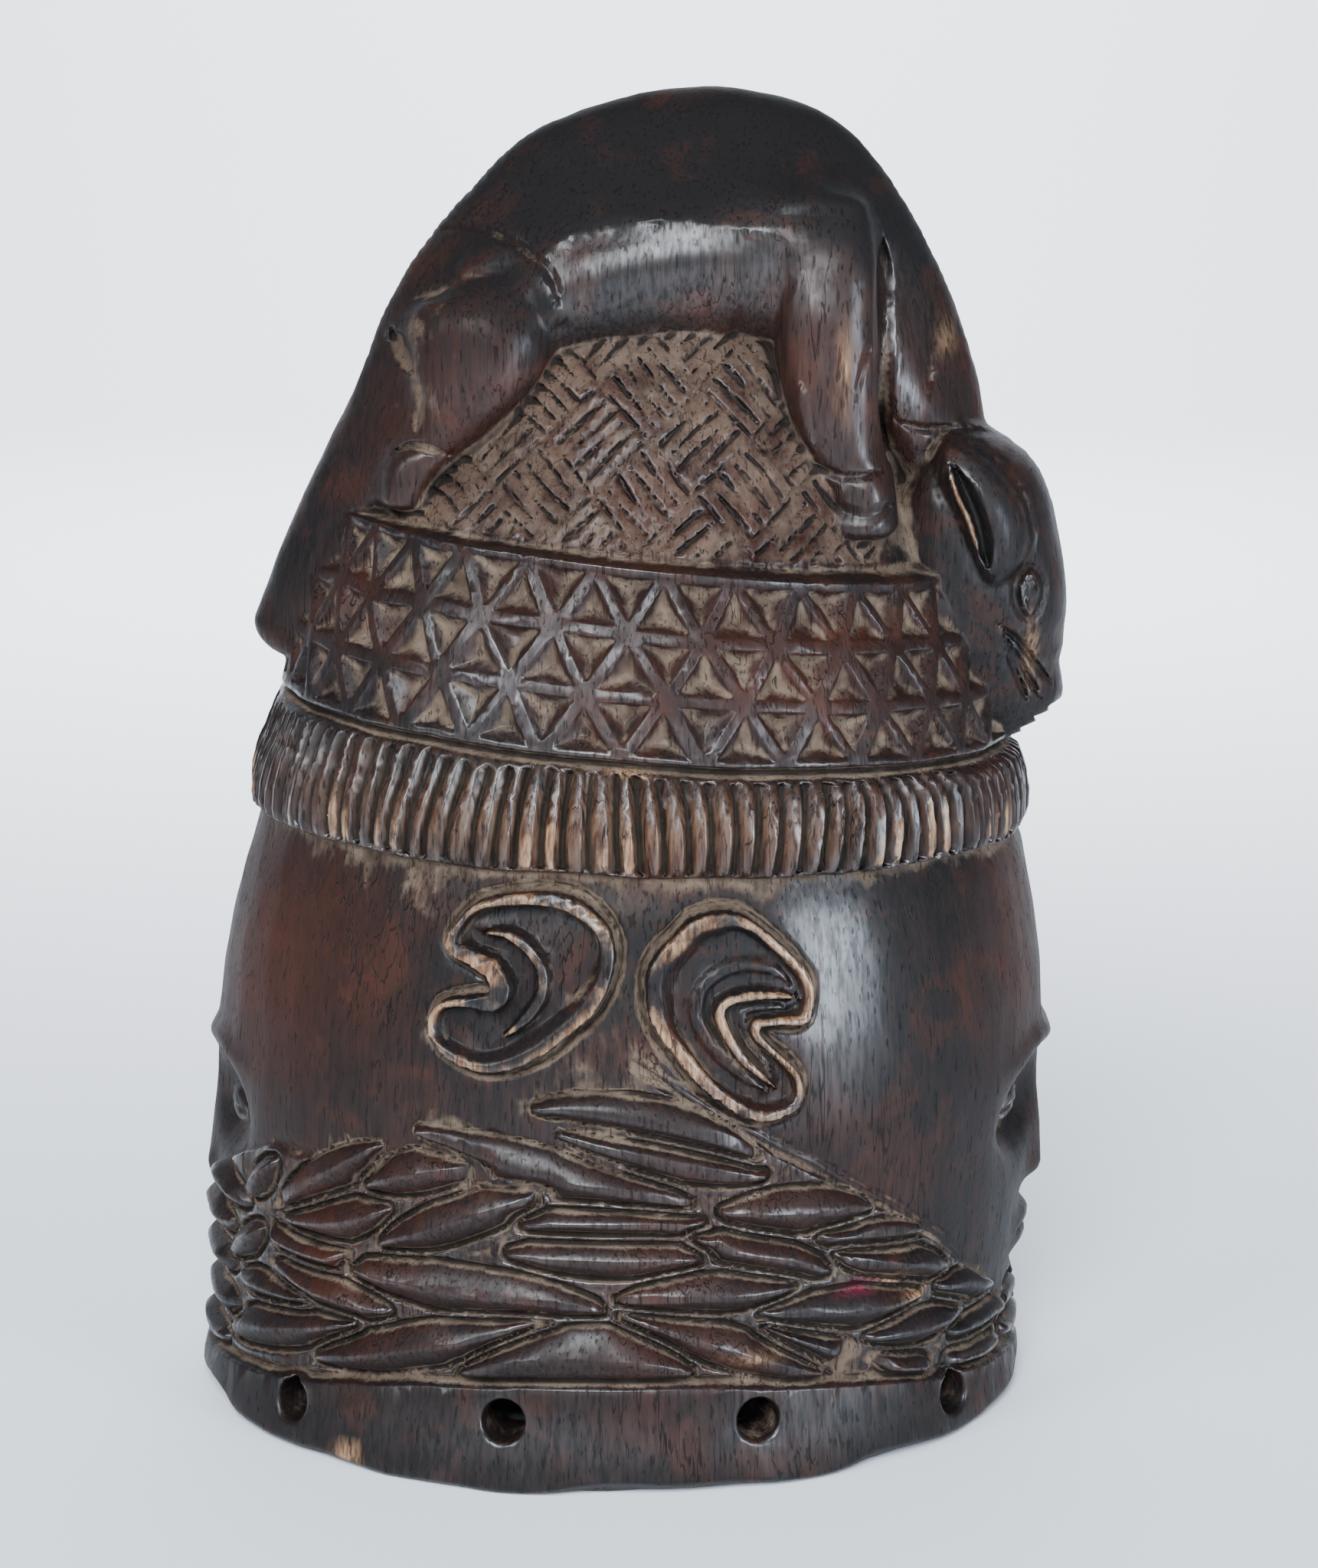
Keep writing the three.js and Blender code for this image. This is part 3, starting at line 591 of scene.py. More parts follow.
FORE_LEG = [
    (66, 376, 12, 8), (66, 364, 15, 13), (66.2, 350, 16.2, 16), (66.8, 336, 16.2, 17.5),
    (68, 322, 15.6, 18), (70, 312, 14.5, 17.5), (73, 303, 12.2, 17), (76, 296, 11, 18),
    (77, 284.5, 11.5, 18.5),
]
# A limb's stations, how far its middle is from y = 0, and the length of its rounded ends
LIMBS = [(BACK, 0, 8), (ANIMAL_HEAD, 0, 6), (JAW, 0, 4), (HIND_LEG, 36, 5), (FORE_LEG, 39, 6)]
SQUARENESS = 2.5  # 2 would make a limb's section an oval
ANIMAL_EAR = [
    (100.6, 298.5), (101, 305.1), (103.9, 308), (109.1, 306.4), (118, 300.4), (124, 293.4), (128, 285),
    (129, 277), (126.5, 270.5), (121.5, 265.5), (117.5, 264.5), (114, 268.6), (110.4, 276.6),
    (105.5, 287.6),
]
EAR_HOLLOW = [(105.6, 300.5), (109.4, 293), (113, 284.1), (114.9, 276), (116.2, 270)]
EAR_FOLD = [(103.2, 303), (105.6, 293.4), (109.4, 285.9), (111.7, 279.4), (113.6, 273.5)]
ANIMAL_EYE = [(129.3, 267.6), (132.4, 262), (129.9, 255), (126.8, 261.4)]
MOUTH = [
    [(120.5, 251.5), (127.5, 245.1), (133.5, 236.8), (140, 229.5)],
    [(121.3, 249.2), (126.4, 241.1), (130.8, 233.7), (135.5, 226)],
    [(122.5, 244.4), (126, 237.2), (128.5, 231.5), (131, 226)],
]
# Creases between the muscles: the line, half its width and how far it is raised or sunk
MUSCLES = [
    ([(-55, 369), (-42, 372), (-31.4, 369), (-21.4, 363.6), (-15.5, 357.6), (-13.2, 349)], 2.6, -1.5),
    ([(88, 314), (95, 311.6), (102, 311), (110, 310.4), (119, 309)], 2.2, -1.5),
    ([(-65.5, 341), (-61.8, 334.5), (-57.3, 328.8)], 4.6, -2.6),
    ([(-55.2, 326), (-56, 318), (-57, 312)], 2.6, -1.2),
    ([(83.5, 368), (83.6, 356), (83.6, 340), (83.8, 320), (85.5, 303)], 4.6, -3.2),
    ([(61, 303), (70.7, 299.8), (84.2, 300.8)], 2.2, -1.8),
    ([(-64, 305.5), (-56.1, 308), (-47, 305.5)], 2.2, -1.7),
    ([(57.8, 327.4), (58.6, 318.4), (62, 307)], 3.4, 1.2), ([(67, 291), (77, 288), (86, 291)], 3.4, -1.3),
    ([(79, 340), (76, 331), (74, 322)], 1.4, -0.9),
    ([(101, 372), (100, 350), (99, 335), (98, 320)], 3.0, -1.2),
]
# Where the animal's dull upper skin starts, as x and z
DULL_FROM = [(-90, 296), (-50, 318), (-20, 325), (45, 368), (60, 350), (84, 352), (100, 345), (120, 325)]
MUZZLE = (143.6, 224.5)
# The flank between the legs, which is cut back under a long break
FLANK = [
    (-18.5, 361), (-9, 370.2), (13.6, 373.8), (36.2, 372.2), (53, 369), (55.5, 358), (52.5, 345), (50, 333),
    (46, 322), (16, 322), (-10, 328), (-16.5, 340), (-14, 350),
]


def limb_chart(stations):
    """Over the plane of the limb's path: how far across it and beyond its ends, and its size there."""
    path = smooth_path(stations)
    forward = np.gradient(path[:, :2], axis=0)
    forward /= np.linalg.norm(forward, axis=1)[:, None]

    def measure(x, z):
        which = nearest(path, x, z)[1]
        fx, fz = forward[which, 0], forward[which, 1]
        dx, dz = x - path[which, 0], z - path[which, 1]
        ends = (which == len(path) - 1) * 1.0 - (which == 0)
        beyond = np.clip((dx * fx + dz * fz) * ends, 0, None)
        return dz * fx - dx * fz, beyond, path[which, 2], path[which, 3]

    return charted(measure, (-150, 190), (160, 425), (1.5, 1.5))


def animal_relief(x, z):
    """Ear, eye, mouth and creases on the animal's sides, and where its skin is dull, painted with shade or
    rubbed.
    """
    deep = depth_in(ANIMAL_EAR, x, z)
    leaf = soft((deep + 0.4) / 3)
    relief = 2.2 * leaf + 1.2 * soft((deep - 2) / 7) - 3.6 * stroke(EAR_HOLLOW, x, z, 3.6, 0.45, 1.0) * leaf
    relief += 1.9 * stroke(EAR_FOLD, x, z, 1.5) * leaf
    relief -= 0.8 * hill((deep + 1.3) / 1.4) * (deep < 0)
    lids = depth_in(ANIMAL_EYE, x, z)
    relief += 1.6 * hill((lids - 0.3) / 1.0) + 1.3 * soft((lids - 1.2) / 1.0) - 1.2 * hill((lids + 2) / 1.3)
    for line in MOUTH:
        relief -= 2.3 * stroke(line, x, z, 1.9, 0.4, 1.1)
    for line, width, rise in MUSCLES:
        relief += rise * stroke(line, x, z, width, edge=1)
    flank = depth_in(FLANK, x, z)
    relief -= 1.3 * soft((flank + 1) / 5)
    dull = soft((z - between(DULL_FROM, x)) / 26) * soft(1 - (flank + 4) / 8)
    # Painted shade in the ear's hollow: darker colour and less dust there.
    shade = stroke(EAR_HOLLOW, x, z, 4.2, 0.45, 2) * leaf
    rubbed = 0.6 * stroke(EAR_FOLD, x, z, 1.7, 0.3, 2)
    return relief, dull, shade, rubbed


def level_at(x, z):
    """The leaning level that each place seen from the side is on."""
    levels = np.arange(-20, 440, 0.5)
    lean = between(LEAN, levels)
    return [np.array([np.interp(up, levels - lean * across, levels) for across, up in zip(x[:, 0], z)])]


class Carving:
    """How far a place is from the carving's surface, in millimetres. It is negative in the wood."""

    def __init__(self, scene):
        self.relief = charted(
            lambda turn, level: whole_relief(turn, level, scene),
            (0, LEVELS[0]), (360, LEVELS[1]), (TURN_STEP, LEVEL_STEP))
        self.level = charted(level_at, (-160, -12), (165, 430), (1.0, 1.0))
        self.hollow = Row(HOLLOW, *LEVELS, soften=2)
        self.limbs = [(limb_chart(stations), apart, cap) for stations, apart, cap in LIMBS]
        self.detail = charted(animal_relief, (-80, 200), (150, 400), (0.5, 0.5))
        self.bore = scene.mask_head.rim_hole / MM / 2

    def on_wall(self, x, y, z):
        """Angle round from the front, level, and distance to the plain oval wall."""
        level = self.level.at(x, z)[0]
        half, centre, slope = WALL.at(level)
        dx, dy = x - centre, y / OVAL
        reach = np.hypot(dx, dy) + 1e-3
        turn = np.degrees(np.arctan2(dy, dx)) % 360
        steep = (dx * dx + (dy / OVAL) ** 2) / reach**2
        return turn, level, (reach - half) / np.sqrt(steep + slope**2)

    def body(self, x, y, z):
        turn, level, away = self.on_wall(x, y, z)
        return away - self.relief.at(turn, level)[0]

    def limb(self, number, x, y, z):
        chart, apart, cap = self.limbs[number]
        across, beyond, thick, wide = chart.at(x, z)
        u, v, w = np.abs(across) / thick, np.abs(np.abs(y) - apart) / wide, beyond / cap
        size = (u**SQUARENESS + v**SQUARENESS + w**SQUARENESS) ** (1 / SQUARENESS) + 1e-3
        steep = np.sqrt((u / thick) ** 2 + (v / wide) ** 2 + (w / cap) ** 2) / size
        return (size - 1) / np.maximum(steep, 1 / 60)

    def shoulder(self, x, y, z):
        """A slope that cuts the back's upper corners, so that the flank below it catches the light."""
        across, _, thick, wide = self.limbs[0][0].at(x, z)
        return 0.75 * (np.abs(y) - 0.94 * wide) + 0.66 * (across - 0.08 * thick)

    def animal(self, x, y, z):
        back, head, jaw, hind, fore = [self.limb(number, x, y, z) for number in range(len(LIMBS))]
        back = most(back, self.shoulder(x, y, z), 6)
        merged = 2.4 + 12 * soft((z - 355) / 18)
        rump = 9 * soft((-38 - x) / 14) * soft((356 - z) / 14)
        trunk = least(least(back, hind, merged + rump), fore, merged)
        skull = least(head, jaw, 3)
        ahead, above = x - MUZZLE[0], z - MUZZLE[1]
        run = -(0.79 * ahead + 0.61 * above) / 5.4
        under = 0.61 * ahead - 0.79 * above + 2.0 * (run % 1) * (run > 0)
        skull = np.where((x > 110) & (z < 250), most(skull, under, 0.8), skull)
        whole = least(trunk, skull, 1.5)
        flank = soft((np.abs(y) - 12) / 10)
        whole = whole - flank * self.detail.at(x, z)[0]
        return whole - 0.4 * ripple(x, y, z, 24, 7) - 0.15 * ripple(x, y, z, 8, 8, 2)

    def inside(self, x, y, z):
        """Distance to the hollow's wall, positive in the wood."""
        half, centre, slope = self.hollow.at(z)
        dx, dy = x - centre, y * half / (half * OVAL - 2.7).clip(0.5)
        reach = np.hypot(dx, dy) + 1e-3
        away = (reach - half) / np.sqrt(1.1 + slope**2)
        return away + 0.5 * ripple(x, y, z, 17, 9, 2.5)

    def holes(self, x, y, z):
        """Distance to the nearest drilled hole, negative in it."""
        near = np.full(x.shape, 1e3)
        for turn in HOLE_TURNS:
            angle = math.radians(turn)
            level = HOLE_LEVEL * float(rim_top(side_angle(turn)))
            half, centre, _ = [float(v[0]) for v in WALL.at(np.array([level]))]
            nx, ny = OVAL * math.cos(angle), math.sin(angle)
            nx, ny = nx / math.hypot(nx, ny), ny / math.hypot(nx, ny)
            px, py = x - centre - half * math.cos(angle), y - OVAL * half * math.sin(angle)
            along = px * nx + py * ny
            away = np.sqrt((px - along * nx) ** 2 + (py - along * ny) ** 2 + (z - level) ** 2) - self.bore
            near = np.minimum(near, np.maximum(away, np.abs(along + HOLE_MIDDLE) - HOLE_HALF))
        return near

    def distance(self, x, y, z):
        wood = self.body(x, y, z)
        high = z > CROWN_FROM
        if high.any():
            place = x[high], y[high], z[high]
            wood[high] = least(wood[high], self.animal(*place), 2)
        wood = most(wood, -self.inside(x, y, z), 2.5)
        low = z < RIM_TO
        if low.any():
            wood[low] = most(wood[low], -self.holes(x[low], y[low], z[low]), 2)
        return most(wood, (0.5 + 1.6 * ripple(x, y, 0, 44, 12)).clip(0) - z, 3)

    def at(self, points, chunk=400000):
        parts = []
        for start in range(0, len(points), chunk):
            x, y, z = points[start:start + chunk].T.astype(np.float32)
            parts.append(self.distance(x, y, z).astype(np.float32))
        return np.concatenate(parts)


# From distances to a mesh

ROOM = (-146, -126, -6), (150, 126, 420)  # the corners of the grid round the whole mask


def fill_grid(carving, low, high, step):
    """Distances on a fine grid. Far from the surface they stay those of a coarser grid."""
    values = np.zeros([math.ceil((b - a) / (4 * step)) for a, b in zip(low, high)], np.float32)
    for spacing, reach in ((4, math.inf), (2, 10.0), (1, 5.5)):
        if spacing < 4:
            for axis in range(3):
                values = np.repeat(values, 2, axis)
        close = np.abs(values) < reach * step
        values[close] = carving.at(np.argwhere(close) * (spacing * step) + np.array(low))
    return values


def skin(values, low, step):
    """A closed surface of triangles where the distances pass through nought."""
    wood = values < 0
    cells = tuple(n - 1 for n in values.shape)
    filled = np.zeros(cells, np.int8)
    corners = [(i, j, k) for i in (0, 1) for j in (0, 1) for k in (0, 1)]
    for i, j, k in corners:
        filled += wood[i:i + cells[0], j:j + cells[1], k:k + cells[2]]
    crossed = (filled > 0) & (filled < 8)
    cell = np.argwhere(crossed)
    number = np.full(cells, -1, np.int32)
    number[crossed] = np.arange(len(cell))
    total, hits = np.zeros((len(cell), 3)), np.zeros(len(cell))
    for axis in range(3):
        for corner in corners:
            if corner[axis]:
                continue
            start = cell + corner
            end = start.copy()
            end[:, axis] += 1
            a, b = values[tuple(start.T)], values[tuple(end.T)]
            cut = (a < 0) != (b < 0)
            share = np.where(cut, a / np.where(cut, a - b, 1), 0)
            place = np.tile(np.array(corner, float), (len(cell), 1))
            place[:, axis] += share
            total += place * cut[:, None]
            hits += cut
    points = (cell + total / hits[:, None]) * step + np.array(low)
    triangles = []
    for axis in range(3):
        beside, above = [(1, 2), (2, 0), (0, 1)][axis]
        lower = np.take(wood, range(0, values.shape[axis] - 1), axis)
        upper = np.take(wood, range(1, values.shape[axis]), axis)
        edge = np.argwhere(lower != upper)
        edge = edge[(edge[:, beside] > 0) & (edge[:, above] > 0)]
        edge = edge[(edge[:, beside] < cells[beside]) & (edge[:, above] < cells[above])]
        ring = []
        for back, down in ((0, 0), (1, 0), (1, 1), (0, 1)):
            spot = edge.copy()
            spot[:, beside] -= back
            spot[:, above] -= down
            ring.append(number[tuple(spot.T)])
        ring = np.stack(ring, 1)
        flip = upper[tuple(edge.T)]
        ring[flip] = ring[flip][:, ::-1]
        a, b, c, d = [points[ring[:, corner]] for corner in range(4)]
        short = ((a - c) ** 2).sum(1) < ((b - d) ** 2).sum(1)
        for keep, order in ((short, (0, 1, 2, 0, 2, 3)), (~short, (0, 1, 3, 1, 2, 3))):
            triangles.append(ring[keep][:, order].reshape(-1, 3))
    return points, np.concatenate(triangles)


def make_mesh(name, points, triangles):
    mesh = bpy.data.meshes.new(name)
    mesh.vertices.add(len(points))
    mesh.vertices.foreach_set("co", points.astype(np.float32).ravel())
    mesh.loops.add(triangles.size)
    mesh.loops.foreach_set("vertex_index", triangles.astype(np.int32).ravel())
    mesh.polygons.add(len(triangles))
    mesh.polygons.foreach_set("loop_start", np.arange(0, triangles.size, 3, dtype=np.int32))
    mesh.update(calc_edges=True)
    mesh.validate()
    return mesh


def thin_out(obj, triangles):
    """Fewer, larger triangles where the wood is smooth."""
    modifier = obj.modifiers.new("fewer", "DECIMATE")
    modifier.ratio = min(1.0, triangles / len(obj.data.polygons))
    modifier.use_collapse_triangulate = True
    bpy.context.view_layer.update()
    fewer = bpy.data.meshes.new_from_object(obj.evaluated_get(bpy.context.evaluated_depsgraph_get()))
    obj.modifiers.clear()
    dense, obj.data = obj.data, fewer
    bpy.data.meshes.remove(dense)
    fewer.name = obj.name


def slope_at(carving, points, reach=0.5):
    """The direction straight out of the wood at each point."""
    sides = []
    for axis in range(3):
        push = np.zeros(3)
        push[axis] = reach
        sides.append(carving.at(points + push) - carving.at(points - push))
    out = np.stack(sides, 1)
    return out / np.maximum(np.linalg.norm(out, axis=1), 1e-6)[:, None]


RAYS = 40
# Millimetres from the surface at which the wood round a point is looked for, outwards (1) or inwards (-1)
LOOKS = [((2, 3.5), 1), ((7, 12, 20), 1), ((1.8, 3), -1)]


def surroundings(values, low, step, points, out):
    """How shut in each point is, near by and farther off, and how much it stands out."""
    number = np.arange(RAYS)
    up = 1 - (number + 0.5) / (RAYS / 2)
    angle = number * math.pi * (3 - math.sqrt(5))
    flat = np.sqrt(1 - up * up)
    rays = np.stack([flat * np.cos(angle), flat * np.sin(angle), up], 1)

    def wood(places):
        spot = np.rint((places - low) / step).astype(int)
        spot = np.clip(spot, 0, np.array(values.shape) - 1)
        return np.clip(0.5 - values[tuple(spot.T)] / (1.4 * step), 0, 1)

    found = []
    for radii, way in LOOKS:
        total = 0
        for radius in radii:
            for ray in rays:
                turned = ray * way * np.sign(out @ ray)[:, None]
                share = wood(points + out * way * 0.5 + turned * radius)
                total = total + (share if way > 0 else 1 - share)
        found.append(total / len(rays) / len(radii))
    return found


# Patches of patina: angle round from the front, level, half width, half height and strength. Warm is bare
# red-brown wood, dust is khaki, sheen is polish, chip is pale wood and smear is old paint.
PATCHES = {
    "warm": [
        (150, 150, 30, 40, 0.9), (140, 205, 30, 12, 0.5), (20, 150, 20, 50, 0.6), (130, 75, 40, 50, 0.35),
        (90, 203, 90, 14, 0.45), (80, 250, 90, 30, 0.4), (92, 80, 46, 60, 0.3),
    ],
    "dust": [
        (95, 158, 9, 34, 0.9), (93, 134, 42, 10, 0.7), (122, 178, 20, 8, 0.5), (70, 182, 40, 5, 0.5),
        (90, 219.5, 80, 2.5, 0.9), (100, 125, 30, 8, 0.5), (128, 250, 16, 30, 0.4), (90, 250, 60, 24, 0.25),
        (60, 16, 40, 7, 0.4), (22, 290, 26, 16, 0.9),
    ],
    "sheen": [
        (63, 152, 11, 30, 1.3), (112, 236, 24, 22, 0.9), (84, 228, 14, 8, 0.6), (132, 205, 30, 14, 0.5),
        (90, 200, 60, 8, 0.3), (104, 180, 18, 9, 0.4), (92, 80, 46, 60, 0.4), (64, 19, 20, 9, 1.1),
        (98, 17, 34, 8, 0.9),
    ],
    "chip": [
        (126, 4, 2.4, 2.5, 1), (98, 203, 60, 12, 0.19), (148, 287, 3, 4, 0.7), (51, 59, 3.4, 1.6, 0.9),
        (46.5, 52, 3.4, 1.6, 0.9), (72, 42, 5, 1.5, 0.6), (92, 219, 4, 1.4, 0.6),
    ],
    "smear": [(56.5, 59.5, 3.6, 1.8, 1)],
}
# The same for the animal, with x and z
ANIMAL_PATCHES = {
    "warm": [(66, 325, 40, 40, 0.4), (-50, 325, 30, 40, 0.5)],
    "dust": [
        (94, 296, 9, 16, 0.7), (45, 300, 90, 26, 0.12), (-54, 325, 18, 34, 1.5), (66, 322, 9, 22, 0.9),
        (97, 330, 8, 22, 0.9),
    ],
    "sheen": [(92, 335, 7, 22, 0.95)],
    "chip": [(71, 330, 1.2, 10, 0.8), (104, 338, 3, 5, 0.3), (131, 243, 2, 9, 0.5)],
    "smear": [],
}
ANIMAL_SHEEN = [(-40, 0.2), (-16, 0.85), (52, 0.85), (62, 0.3), (84, 0.5), (104, 0.12)]
PATCH_SCALE = ARC / 1.6


def patch_marks(kind, side, level, x, z, beast):
    """How much each place has of one kind of patina."""
    wall, animal = np.zeros(side.shape), np.zeros(side.shape)
    for turn, height, width, tall, strength in PATCHES[kind]:
        spot = hill((side - turn) * PATCH_SCALE / width, (level - height) / tall)
        wall = np.maximum(wall, strength * spot)
    for along, height, width, tall, strength in ANIMAL_PATCHES[kind]:
        animal = np.maximum(animal, strength * hill((x - along) / width, (z - height) / tall))
    return wall * (1 - beast) + animal * beast


def mark_wood(obj, carving, values, low, step):
    """Gives the mesh its true directions, and the measures that its finish is mixed by."""
    mesh = obj.data
    points = np.zeros(len(mesh.vertices) * 3, np.float32)
    mesh.vertices.foreach_get("co", points)
    points = points.reshape(-1, 3) / MM - (SHIFT, 0, 0)
    out = slope_at(carving, points)
    mesh.polygons.foreach_set("use_smooth", np.ones(len(mesh.polygons), bool))
    mesh.normals_split_custom_set_from_vertices(out.tolist())

    near, far, bare = surroundings(values, np.array(low), step, points, out)
    x, y, z = points.T.astype(np.float32)
    turn, level, _ = carving.on_wall(x, y, z)
    _, worn, ground, woven, painted_shade_no_dust = carving.relief.at(turn, level)
    _, dull, shade, rubbed = carving.detail.at(x, z)
    inner = soft((2.5 - carving.inside(x, y, z)) / 2)
    beast = np.zeros(len(x))
    high = z > CROWN_FROM
    crown = x[high], y[high], z[high]
    beast[high] = soft((carving.body(*crown) - carving.animal(*crown)) / 2)
    own = (1 - beast) * (1 - inner)
    marks = {
        kind: patch_marks(kind, side_angle(turn), level, x, z, beast) * (1 - inner) for kind in PATCHES
    }
    marks["sheen"] += beast * (1 - dull) * between(ANIMAL_SHEEN, x)
    # The painted shade mark darkens cuts and keeps dust off. The whole animal gets some of it, and its ear
    # hollow gets more.
    marks |= {
        "near": near, "far": far, "bare": bare, "inner": inner, "ground": ground * own, "woven": woven * own,
        "dull": dull * beast, "worn": np.maximum(worn * own, rubbed * beast),
        "painted_shade_no_dust": painted_shade_no_dust * own + (0.5 + shade) * beast,
    }
    for name, share in marks.items():
        held = mesh.attributes.new(name, "FLOAT", "POINT")
        held.data.foreach_set("value", share.astype(np.float32))


# Materials


class Number:
    """A number in a material. Arithmetic on it adds Math nodes."""

    def __init__(self, paint, socket):
        self.paint, self.socket = paint, socket

    def math(self, operation, *values):
        return self.paint.add("Math", {"operation": operation}, dict(enumerate(values)))

    def __add__(self, other):
        return self.math("ADD", self, other)

    __radd__ = __add__

    def __sub__(self, other):
        return self.math("SUBTRACT", self, other)

    def __rsub__(self, other):
        return self.math("SUBTRACT", other, self)

    def __mul__(self, other):
        return self.math("MULTIPLY", self, other)

    __rmul__ = __mul__

    def most(self, other):
        return self.math("MAXIMUM", self, other)

    def least(self, other):
        return self.math("MINIMUM", self, other)

    def gap(self, other):
        return self.math("ABSOLUTE", self - other)

    def rise(self, low, high):
        """0 below low and 1 above high."""
        return self.paint.add("MapRange", {"interpolation_type": "SMOOTHSTEP"}, {0: self, 1: low, 2: high})


class Paint:
    """The nodes of one material."""

    def __init__(self, name):
        self.material = bpy.data.materials.new(name)
        self.material.use_nodes = True
        self.tree = self.material.node_tree
        self.tree.nodes.clear()

    def add(self, kind, settings=None, sockets=None, output=0):
        """One node. Settings come first, then the values or links of its sockets."""
        node = self.tree.nodes.new("ShaderNode" + kind)
        for name, value in (settings or {}).items():
            setattr(node, name, value)
        for name, value in (sockets or {}).items():
            if isinstance(value, Number):
                self.tree.links.new(value.socket, node.inputs[name])
            else:
                node.inputs[name].default_value = value
        return Number(self, node.outputs[output]) if node.outputs else node

    def mark(self, name):
        return self.add("Attribute", {"attribute_name": name, "attribute_type": "GEOMETRY"}, output=2)

    def scaled(self, place, scale):
        return self.add("VectorMath", {"operation": "MULTIPLY"}, {0: place, 1: scale})

    def noise(self, place, scale, detail=3.0, rough=0.55, twist=0.0):
        sockets = {"Vector": place, "Scale": scale, "Detail": detail, "Roughness": rough, "Distortion": twist}
        return self.add("TexNoise", {}, sockets)

    def mix(self, first, second, share):
        return self.add("Mix", {"data_type": "RGBA"}, {0: share, 6: first, 7: second}, output=2)

    def blend(self, first, second, share):
        return first + (second - first) * share


# The pore colour is also painted as shade in the deepest cuts.
OLD_PAINT, PORE_AND_PAINTED_SHADE_COLOUR = (0.16, 0.008, 0.035, 1), (0.002, 0.0015, 0.0013, 1)


def oiled_wood(finish):
    """Dark wood: polished by hands where it stands out, dusty in its hollows, tan where an edge is worn, and
    painted shade in its deepest cuts.
    """
    paint = Paint("oiled_dark_wood")
    place = paint.add("TexCoord", output=3)
    streaks = paint.noise(paint.scaled(place, (1, 1, 0.11)), 640, 4, 0.62)
    pores = paint.noise(paint.scaled(place, (1, 1, 0.15)), 1000, 2, 0.5).rise(0.60, 0.68)
    mottle = paint.noise(place, 95, 5, 0.62)
    blots = paint.noise(place, 48, 5, 0.65, 0.6)
    patches = paint.noise(place, 21, 4, 0.6)
    checks = 1 - paint.noise(paint.scaled(place, (1, 1, 0.045)), 150, 3, 0.55).gap(0.5).rise(0, 0.012)
    checks = checks * patches.rise(0.48, 0.60)

    near, far, bare, ground, woven, painted_shade_no_dust, worn, inner, dull = [
        paint.mark(name)
        for name in ("near", "far", "bare", "ground", "woven", "painted_shade_no_dust", "worn", "inner", "dull")
    ]

    shut = near * (2.3 - woven * 3.4) + far * 1.1 + ground * 0.55 + woven * 0.78 + paint.mark("dust") * 0.6
    shut = shut + (mottle - 0.5) * 1.1 + (patches - 0.5) * 0.6 + (streaks - 0.5) * 0.5
    shut = shut - bare * (2.4 - woven * 1.2) - painted_shade_no_dust * 0.8 + inner * 0.25 + (blots - 0.43) * dull * 2.7
    dust = shut.rise(0.36, 0.95) * finish.dust_amount
    # Painted shade: near black where a point is most shut in and in the marked grooves, where shade falls.
    cut = (near * (2 + woven) - 0.55 + painted_shade_no_dust * 0.4 + woven * 0.1).rise(0, 0.45)

    warm = patches.rise(0.45, 0.70) * 0.4 + blots.rise(0.52, 0.62) * 0.35 + paint.mark("warm")
    warm = warm - dull * 0.2 + woven * 0.5 + (streaks - 0.5) * 0.9
    colour = paint.mix(finish.deep, finish.warm, warm)
    powder = paint.mix(finish.dust_dark, finish.dust_light, mottle * 2.4 - 0.75)
    colour = paint.mix(colour, powder, dust * (0.9 - dull * 0.25 - woven * 0.38))

    rubbed = (worn * 1.1 + bare * 1.4 + (blots - 0.5) * 2.4 - 0.62).rise(0.35, 0.95) * worn.rise(0.2, 0.8)
    tan = paint.mix(finish.tan_dark, finish.tan_light, streaks.rise(0.35, 0.65))
    colour = paint.mix(colour, tan, (rubbed * 0.75).most(paint.mark("chip") * streaks.rise(0.3, 0.5)))
    colour = paint.mix(colour, OLD_PAINT, paint.mark("smear") * mottle.rise(0.35, 0.5) * 0.8)
    # Pores and checks are the grain's own dark colour; cut adds painted shade.
    dark = (pores * 0.6).most(checks * 0.85).most(cut * 0.85)
    colour = paint.mix(colour, PORE_AND_PAINTED_SHADE_COLOUR, dark)

    polish = 0.05 + paint.mark("sheen") * 0.75 + bare.rise(0.04, 0.35) * 0.8
    polish = (polish + woven * 0.15) * (1 - dust * (1 - woven * 0.5)) * (1 - dark)
    polish = polish * (0.45 + streaks.rise(0.34, 0.62) * 0.8)
    rough = paint.blend(paint.blend(0.58, 0.36, bare.rise(0.05, 0.4)), 0.9, dust.most(dull * 0.8))
    rough = rough + (streaks - 0.5) * 0.30 + pores * 0.2
    height = streaks * 0.42 + mottle * 0.35 - pores * 0.6 - checks * 1.4 + dust * 0.25
    bump = paint.add("Bump", {}, {"Strength": 0.6, "Distance": 0.0007, "Height": height})
    shader = paint.add("BsdfPrincipled", {}, {
        "Base Color": colour, "Roughness": rough, "Normal": bump, "IOR": 1.27,
        "Coat Weight": polish.most(0).least(1), "Coat Roughness": 0.30, "Coat IOR": 1.5,
    })
    paint.add("OutputMaterial", {}, {0: shader})
    return paint.material


def plain_finish(name, colour, rough):
    paint = Paint(name)
    shader = paint.add("BsdfPrincipled", {}, {"Base Color": colour, "Roughness": rough})
    paint.add("OutputMaterial", {}, {0: shader})
    return paint.material


# Sizes and colours that a user may change


def length(name, description, default):
    return bpy.props.FloatProperty(
        name=name, description=description, default=default, unit="LENGTH", precision=4, min=0)


def count(name, description, default, lowest):
    return bpy.props.IntProperty(name=name, description=description, default=default, min=lowest)


